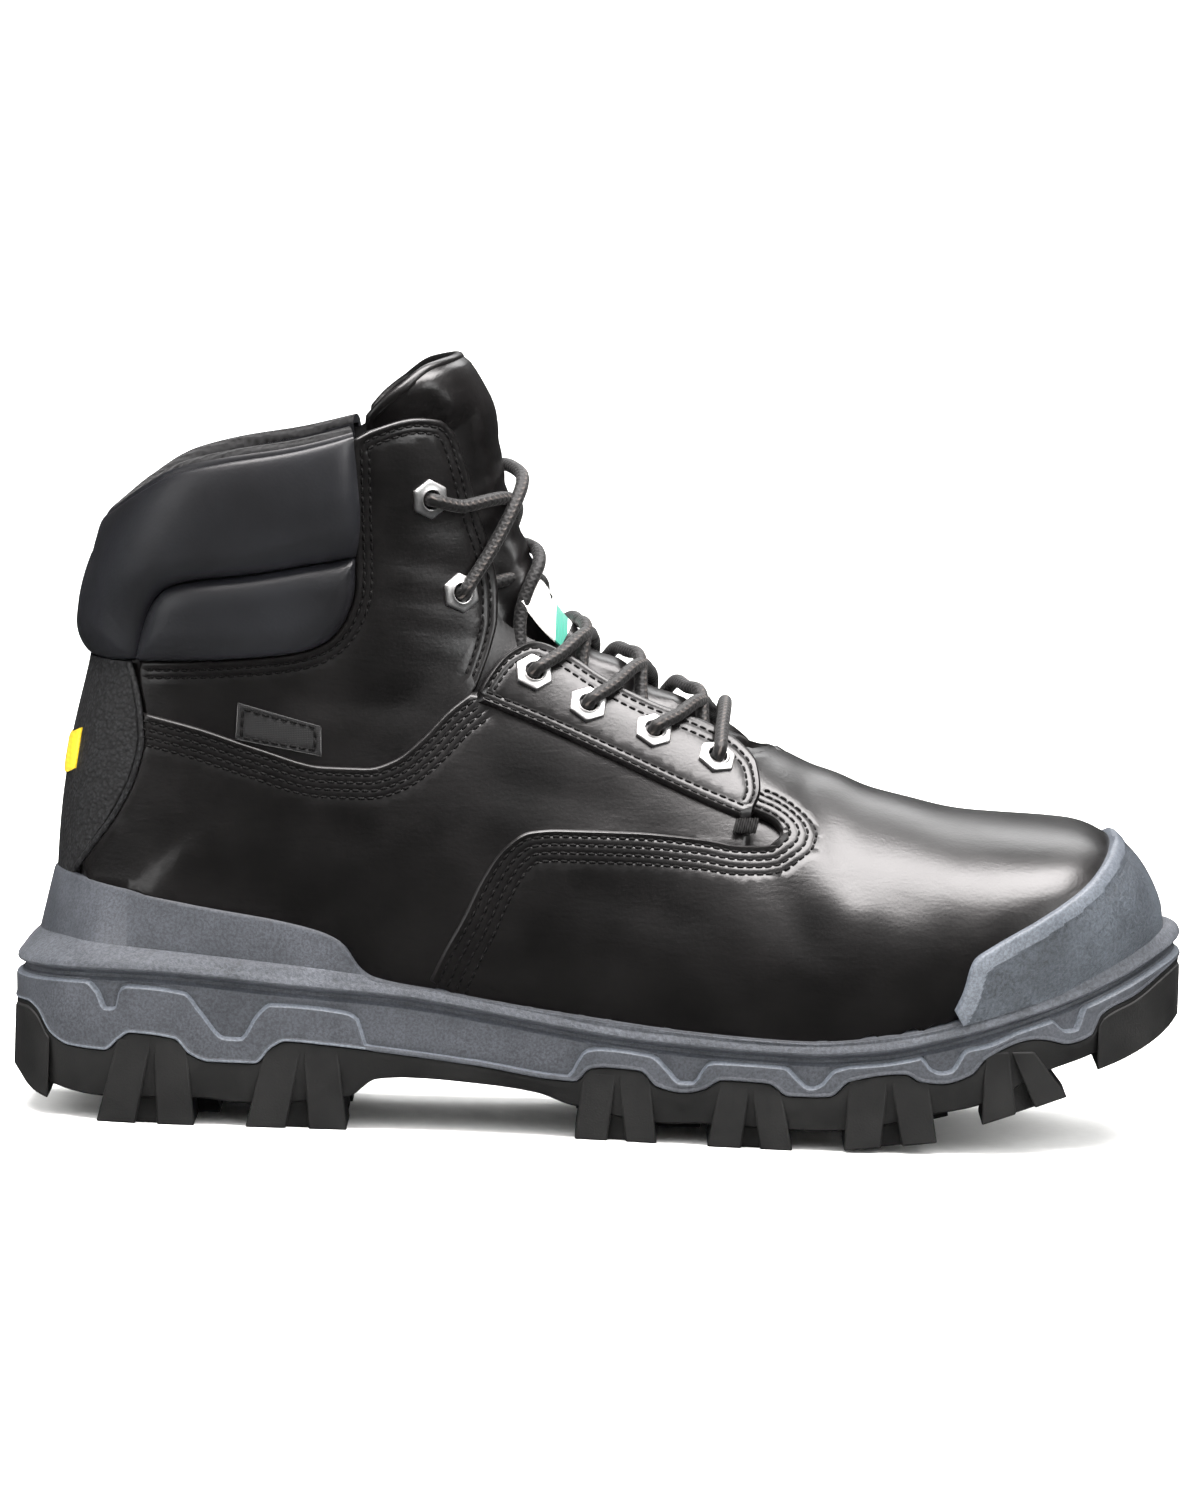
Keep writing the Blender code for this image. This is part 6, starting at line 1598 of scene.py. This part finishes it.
def fitting(x, z, side, off):
    """Place and axes of a small fitting that lies on the last."""
    t, h = locate(x, z)
    point, normal = skin(t, h, side, np.array([off]))[0], outward(t, h, side)[0]
    ahead = np.array([1.0, 0.0, 0.0]) - normal * normal[0]
    ahead /= np.linalg.norm(ahead)
    return point, ahead, np.cross(normal, ahead), normal


def eyelet_frame(k, side):
    """Place and axes of an eyelet: the lower four are in the eyestay, the upper two in the ankle panel."""
    return fitting(*EYELETS[k], side, EYESTAY_TOP_OFF if k < 4 else PANEL_TOP_OFF)


for side, word in SIDES:
    for k in range(len(EYELETS)):
        point, ahead, across, normal = eyelet_frame(k, side)
        lean = math.radians((7 * k * k) % 23 - 9)
        vertices = []
        for share, round_radius, height in EYELET_PROFILE:
            radius = HEX * share + round_radius
            turned = TURNS + lean
            spokes = np.outer(radius * np.cos(turned), ahead) + np.outer(radius * np.sin(turned), across)
            vertices.append(point + (spokes + height * normal))
        size, rings = len(TURNS), len(EYELET_PROFILE)
        faces = [(a * size + i, a * size + (i + 1) % size, (a + 1) % rings * size + (i + 1) % size,
                  (a + 1) % rings * size + i) for a in range(rings) for i in range(size)]
        keep(f"eyelet_plate_{word}_{k + 1}", np.concatenate(vertices), faces, NICKEL,
             f"eyelet_{word}_{k + 1}", sharp=38.0)
tally("eyelets")

# %% [markdown]
# ## Lace
# One round lace runs through all twelve eyelets. It comes out of one eyelet, crosses the tongue over
# or under its partner, goes in behind the next eyelet on the other side, and comes out again. Its
# ends stop inside, behind the top pair.

# %% The route of one half of the lace
LACE_RADIUS = 1.8


def over(t, h, side, off):
    """One point at a distance off outside the last."""
    return skin(np.array([t]), np.array([h]), side, np.array([off]))[0]


def over_crest(t, h, off):
    """One point near the crest line, between the two sides."""
    return (over(t, h, LATERAL, off) + over(t, h, MEDIAL, off)) / 2


def over_tongue(start, end, side, above, rise):
    """A strand from one eyelet across the tongue to under the flap of the next one."""
    (ta, ha), (tb, hb) = locate(*EYELETS[start]), locate(*EYELETS[end])
    ta, tb = ta[0], tb[0]
    girth_a, girth_b = math.sqrt(1 - ha[0]), math.sqrt(1 - hb[0])
    places = []
    shares = np.linspace(0.10, 0.93 if start < 5 else 0.97, 19)
    for share in shares:
        bend = share ** (0.62 if side == LATERAL else 1.76)
        across = -girth_a * (1 - share) + girth_b * share
        t = ta + (tb - ta) * bend
        own = side if across < 0 else -side
        h = 1 - across ** 2
        off = float(np.interp(share, STRAND_SHARES, STRAND_OFFS.get(start, STRAND_OFFS[3])))
        off += rise * math.exp(-((share - 0.5) / 0.3) ** 2)
        if above:
            off += 2 * LACE_RADIUS * math.exp(-((share - 0.64) / 0.15) ** 2)
        places.append(over_crest(t, h, off) if abs(across) < 0.03 else over(t, h, own, off))
    return places


def lace_half(first_side):
    """The lace from its hidden end behind a top eyelet down to the lowest eyelet."""
    point, _, _, normal = eyelet_frame(5, first_side)
    route = [point - normal * 7.0, point - normal * 3.0, point + normal * 0.6]
    side = first_side
    for k in range(5, 0, -1):
        point, _, _, normal = eyelet_frame(k, side)
        route += [point - normal * 4.6] if k == 4 else [point + normal * 2.6]
        route += over_tongue(k, k - 1, side, above=side == MEDIAL, rise=RISES[k])
        side = -side
        point, _, _, normal = eyelet_frame(k - 1, side)
        dips = (2.2, 0.4, -2.4) if k == 5 else (-4.4, -2.4, 0.6)
        route += [point + normal * dip for dip in dips]
    return route


RISES = {5: 0.0, 4: 1.4, 3: 0.9, 2: 0.3, 1: 0.0}
STRAND_SHARES = (0.10, 0.24, 0.36, 0.5, 0.65, 0.78, 0.93)
STRAND_OFFS = {5: (3.0, 3.2, 2.6, 1.3, 1.4, 2.8, 3.2), 4: (-2.6, -1.4, 0.2, 1.0, 0.8, -0.6, -1.6),
               3: (5.2, 5.1, 3.0, 0.6, 0.3, -0.9, -1.6)}


def eased(points, passes=2):
    """A route with its corners rounded by repeated corner cutting."""
    points = np.asarray(points)
    for _ in range(passes):
        ahead, behind = points[:-1] * 0.75 + points[1:] * 0.25, points[:-1] * 0.25 + points[1:] * 0.75
        points = np.concatenate([points[:1], np.stack([ahead, behind], 1).reshape(-1, 3), points[-1:]])
    return points


halves = [lace_half(LATERAL), lace_half(MEDIAL)]
bar = []
one_end, other_end = halves[0][-1], halves[1][-1]
crown = over_crest(locate(*EYELETS[0])[0][0] + 0.12, 0.995, 4.6)
for share in np.linspace(0.12, 0.88, 9):
    straight = one_end * (1 - share) + other_end * share
    bar.append(straight + (crown - (one_end + other_end) / 2) * math.sin(math.pi * share) ** 0.7)
end_side = LATERAL if one_end[1] < 0 else MEDIAL
bar = [one_end + eyelet_frame(0, end_side)[3] * 2.6, *bar, other_end + eyelet_frame(0, -end_side)[3] * 2.6]
route = eased(halves[0] + bar + halves[1][::-1])
print("lace runs", round(float(np.linalg.norm(np.diff(route, axis=0), axis=1).sum())), "mm")
tube("lace", spaced(route, 0.9), LACE_RADIUS, 18, LACE_BRAID,
     [f"lace_crossing_{k}" for k in range(1, 6)])
tally("lace")

# %% [markdown]
# ## Tags and label
# A plain webbing tag is sewn on the ankle, a plain yellow patch at the back, and a white woven label
# with a teal stripe on the tongue. All are bare.

# %% Tags
TAG_CORNERS = [(58.5, 111.3), (80.5, 105.7), (80.8, 97.9), (58.2, 101.6)]
tag = joined(*[spaced(np.array([a, b]), 1.5) for a, b in zip(TAG_CORNERS, TAG_CORNERS[1:] + TAG_CORNERS[:1])])
middle_of_tag = tag.mean(axis=0)
border = (tag - middle_of_tag) * np.array([0.86, 0.76]) + middle_of_tag
border = np.concatenate([border, border[:1]])
cut_panel("ankle_tag", tag, on_side(LATERAL), 1.0, 2.0, WEBBING, "side_tag", pitch=1.4,
          rows=[border], radius=0.5)
thread("ankle_tag_stitches", [(border, on_side(LATERAL), 1.95)], "black_webbing")

low_t, high_t = back_section(88.2), back_section(99.2)
patch_t = np.repeat(np.linspace(low_t, high_t, 14)[:, None], 12, axis=1)
patch_h = np.repeat(np.linspace(0, 0.028, 12)[None, :], 14, axis=0)
up_the_patch = np.linspace(0, 11, 14)[:, None]
edge = np.minimum(np.minimum(up_the_patch, up_the_patch[::-1]), np.linspace(11, 0, 12)[None, :])
patch_top = 2.35 + 0.5 * (1 - np.exp(-edge / 0.6))
wrapped_sheet("heel_patch", patch_t, patch_h, np.full_like(patch_t, 1.9), patch_top, YELLOW,
              "heel_tab", centre_last=False)

label_t = np.linspace(9.2, 10.5, 30)[:, None].repeat(14, 1)
label_h = np.linspace(0.95, 0.9995, 14)[None, :].repeat(30, 0)
label_off = tongue_rise(label_t) + 0.6
wrapped_sheet("tongue_label", label_t, label_h, label_off - 0.35, label_off + 0.25, LABEL)
tally("tags")


# %% [markdown]
# ## Studio
# A pale sweep, one large softbox overhead and weak ones around give the broad band of light along
# the shoulders of the leather and leave its sides deep. The sweep closes far out, behind any camera.
# The sweep also glows on its own, as painted light: not at all close to the boot, more further out.

# %% Floor and backdrop
GLOWING_SWEEP, shader = new_material("glowing_studio_paper", Roughness=0.9, IOR=1.3)
place = add(GLOWING_SWEEP, "TexCoord").outputs["Object"]
away = add(GLOWING_SWEEP, "VectorMath", {"operation": "LENGTH"}, i0=place).outputs["Value"]
# Painted light: the sweep's own glow, none within 0.19 m of the origin and rising outwards, so the floor reads white
# while the shadow under the boot stays.
near = add(GLOWING_SWEEP, "MapRange", {"interpolation_type": "SMOOTHSTEP"}, Value=away, From_Min=0.19, From_Max=0.8,
           To_Min=0.0, To_Max=0.75)
far = add(GLOWING_SWEEP, "MapRange", {"interpolation_type": "SMOOTHSTEP"}, Value=away, From_Min=1.6, From_Max=5.0,
          To_Min=0.0, To_Max=0.2)
glow = add(GLOWING_SWEEP, "Math", {"operation": "ADD"}, i0=near.outputs[0], i1=far.outputs[0])
fibre = add(GLOWING_SWEEP, "TexNoise", Vector=place, Scale=per(3.0), Detail=2.0).outputs["Fac"]
tint(GLOWING_SWEEP, shader, fibre, (0.3, "#F1F1F0"), (0.7, "#F6F6F5"))
shader.inputs["Emission Color"].default_value = (1.0, 1.0, 1.0, 1.0)
wire(GLOWING_SWEEP, glow.outputs[0], shader, "Emission Strength")
BEND, REACH_OUT, TALL = 1.5, 6.0, 7.5
turn = np.linspace(0.2, math.pi / 2, 8)
radii = [0.02, 0.3, 0.7, 1.2, 1.8, 2.6, 3.6, REACH_OUT - BEND, *(REACH_OUT - BEND + BEND * np.sin(turn)), REACH_OUT]
heights = [0.0] * 8 + [*(BEND - BEND * np.cos(turn)), TALL]
vertices, faces = [(0.0, 0.0, 0.0)], []
around = 96
for radius, height in zip(radii, heights):
    vertices += [(radius * math.cos(math.tau * k / around), radius * math.sin(math.tau * k / around), height)
                 for k in range(around)]
for k in range(around):
    faces.append((0, 1 + k, 1 + (k + 1) % around))
for ring in range(len(radii) - 1):
    for k in range(around):
        a, b = 1 + ring * around + k, 1 + ring * around + (k + 1) % around
        faces.append((a, a + around, b + around, b))
mesh = bpy.data.meshes.new("studio_sweep")
mesh.from_pydata(vertices, [], faces)
mesh.shade_smooth()
sweep = bpy.data.objects.new("studio_sweep", mesh)
bpy.context.scene.collection.objects.link(sweep)
mesh.materials.append(GLOWING_SWEEP)
sweep.visible_glossy = False
sweep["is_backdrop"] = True

# %% Lights


def softbox(name, place, target, width, height, power, colour=(1.0, 1.0, 1.0)):
    """A rectangular area light that looks at a target."""
    light = bpy.data.lights.new(name, "AREA")
    light.shape, light.size, light.size_y, light.energy, light.color = "RECTANGLE", width, height, power, colour
    item = bpy.data.objects.new(name, light)
    bpy.context.scene.collection.objects.link(item)
    item.location = place
    item.rotation_euler = (Vector(target) - Vector(place)).to_track_quat("-Z", "Y").to_euler()
    return item


softbox("overhead_softbox", (0.05, -0.12, 1.25), (0.03, 0.0, 0.08), 1.5, 0.8, 62.0, (1.0, 0.965, 0.96))
softbox("front_fill", (-0.2, -1.7, 1.1), (0.0, 0.0, 0.08), 1.6, 0.8, 1.2)
softbox("toe_fill", (1.1, -0.9, 0.9), (0.05, 0.0, 0.1), 0.6, 0.6, 7.0)
softbox("heel_fill", (-1.3, -0.5, 0.6), (-0.12, 0.0, 0.06), 0.7, 0.7, 3.0)
softbox("rear_softbox", (0.1, 1.2, 1.1), (0.0, 0.0, 0.08), 1.2, 0.6, 9.0)
world = bpy.data.worlds.new("studio_air")
bpy.context.scene.world = world
world.use_nodes = True
world.node_tree.nodes["Background"].inputs["Color"].default_value = (0.9, 0.92, 0.95, 1.0)
world.node_tree.nodes["Background"].inputs["Strength"].default_value = 0.05
bpy.context.scene.view_settings.view_transform = "Standard"
print("studio ready")

# %% Camera
ELEVATION, ROLL = math.radians(5.0), math.radians(1.8)
MM_PER_PIXEL, AWAY = 0.267, 2.6
eye_up = Vector((0.0, math.sin(ELEVATION), math.cos(ELEVATION)))
right = Vector((math.cos(ROLL), 0, 0)) + eye_up * math.sin(ROLL)
up = Vector((-math.sin(ROLL), 0, 0)) + eye_up * math.cos(ROLL)
back = right.cross(up)
middle_x = 157.4 + (750 - 1143) * math.sin(ROLL) * MM_PER_PIXEL
middle_v = -(750 - 1143) * math.cos(ROLL) * MM_PER_PIXEL - 6.5
aim = Vector(((middle_x + SHIFT[0]) / 1000, 0.0, middle_v / math.cos(ELEVATION) / 1000))
lens = bpy.data.cameras.new("studio_camera")
lens.sensor_width, lens.lens = 36.0, 36.0 * AWAY / (1500 * MM_PER_PIXEL / 1000)
lens.clip_start, lens.clip_end = 0.1, 50.0
camera = bpy.data.objects.new("studio_camera", lens)
bpy.context.scene.collection.objects.link(camera)
camera.matrix_world = Matrix((right, up, back)).transposed().to_4x4()
camera.location = aim + back * AWAY
bpy.context.scene.camera = camera

low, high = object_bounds()
print("dressed box", [round(v * 1000, 1) for v in high - low], "triangles", ROOM["triangles"])
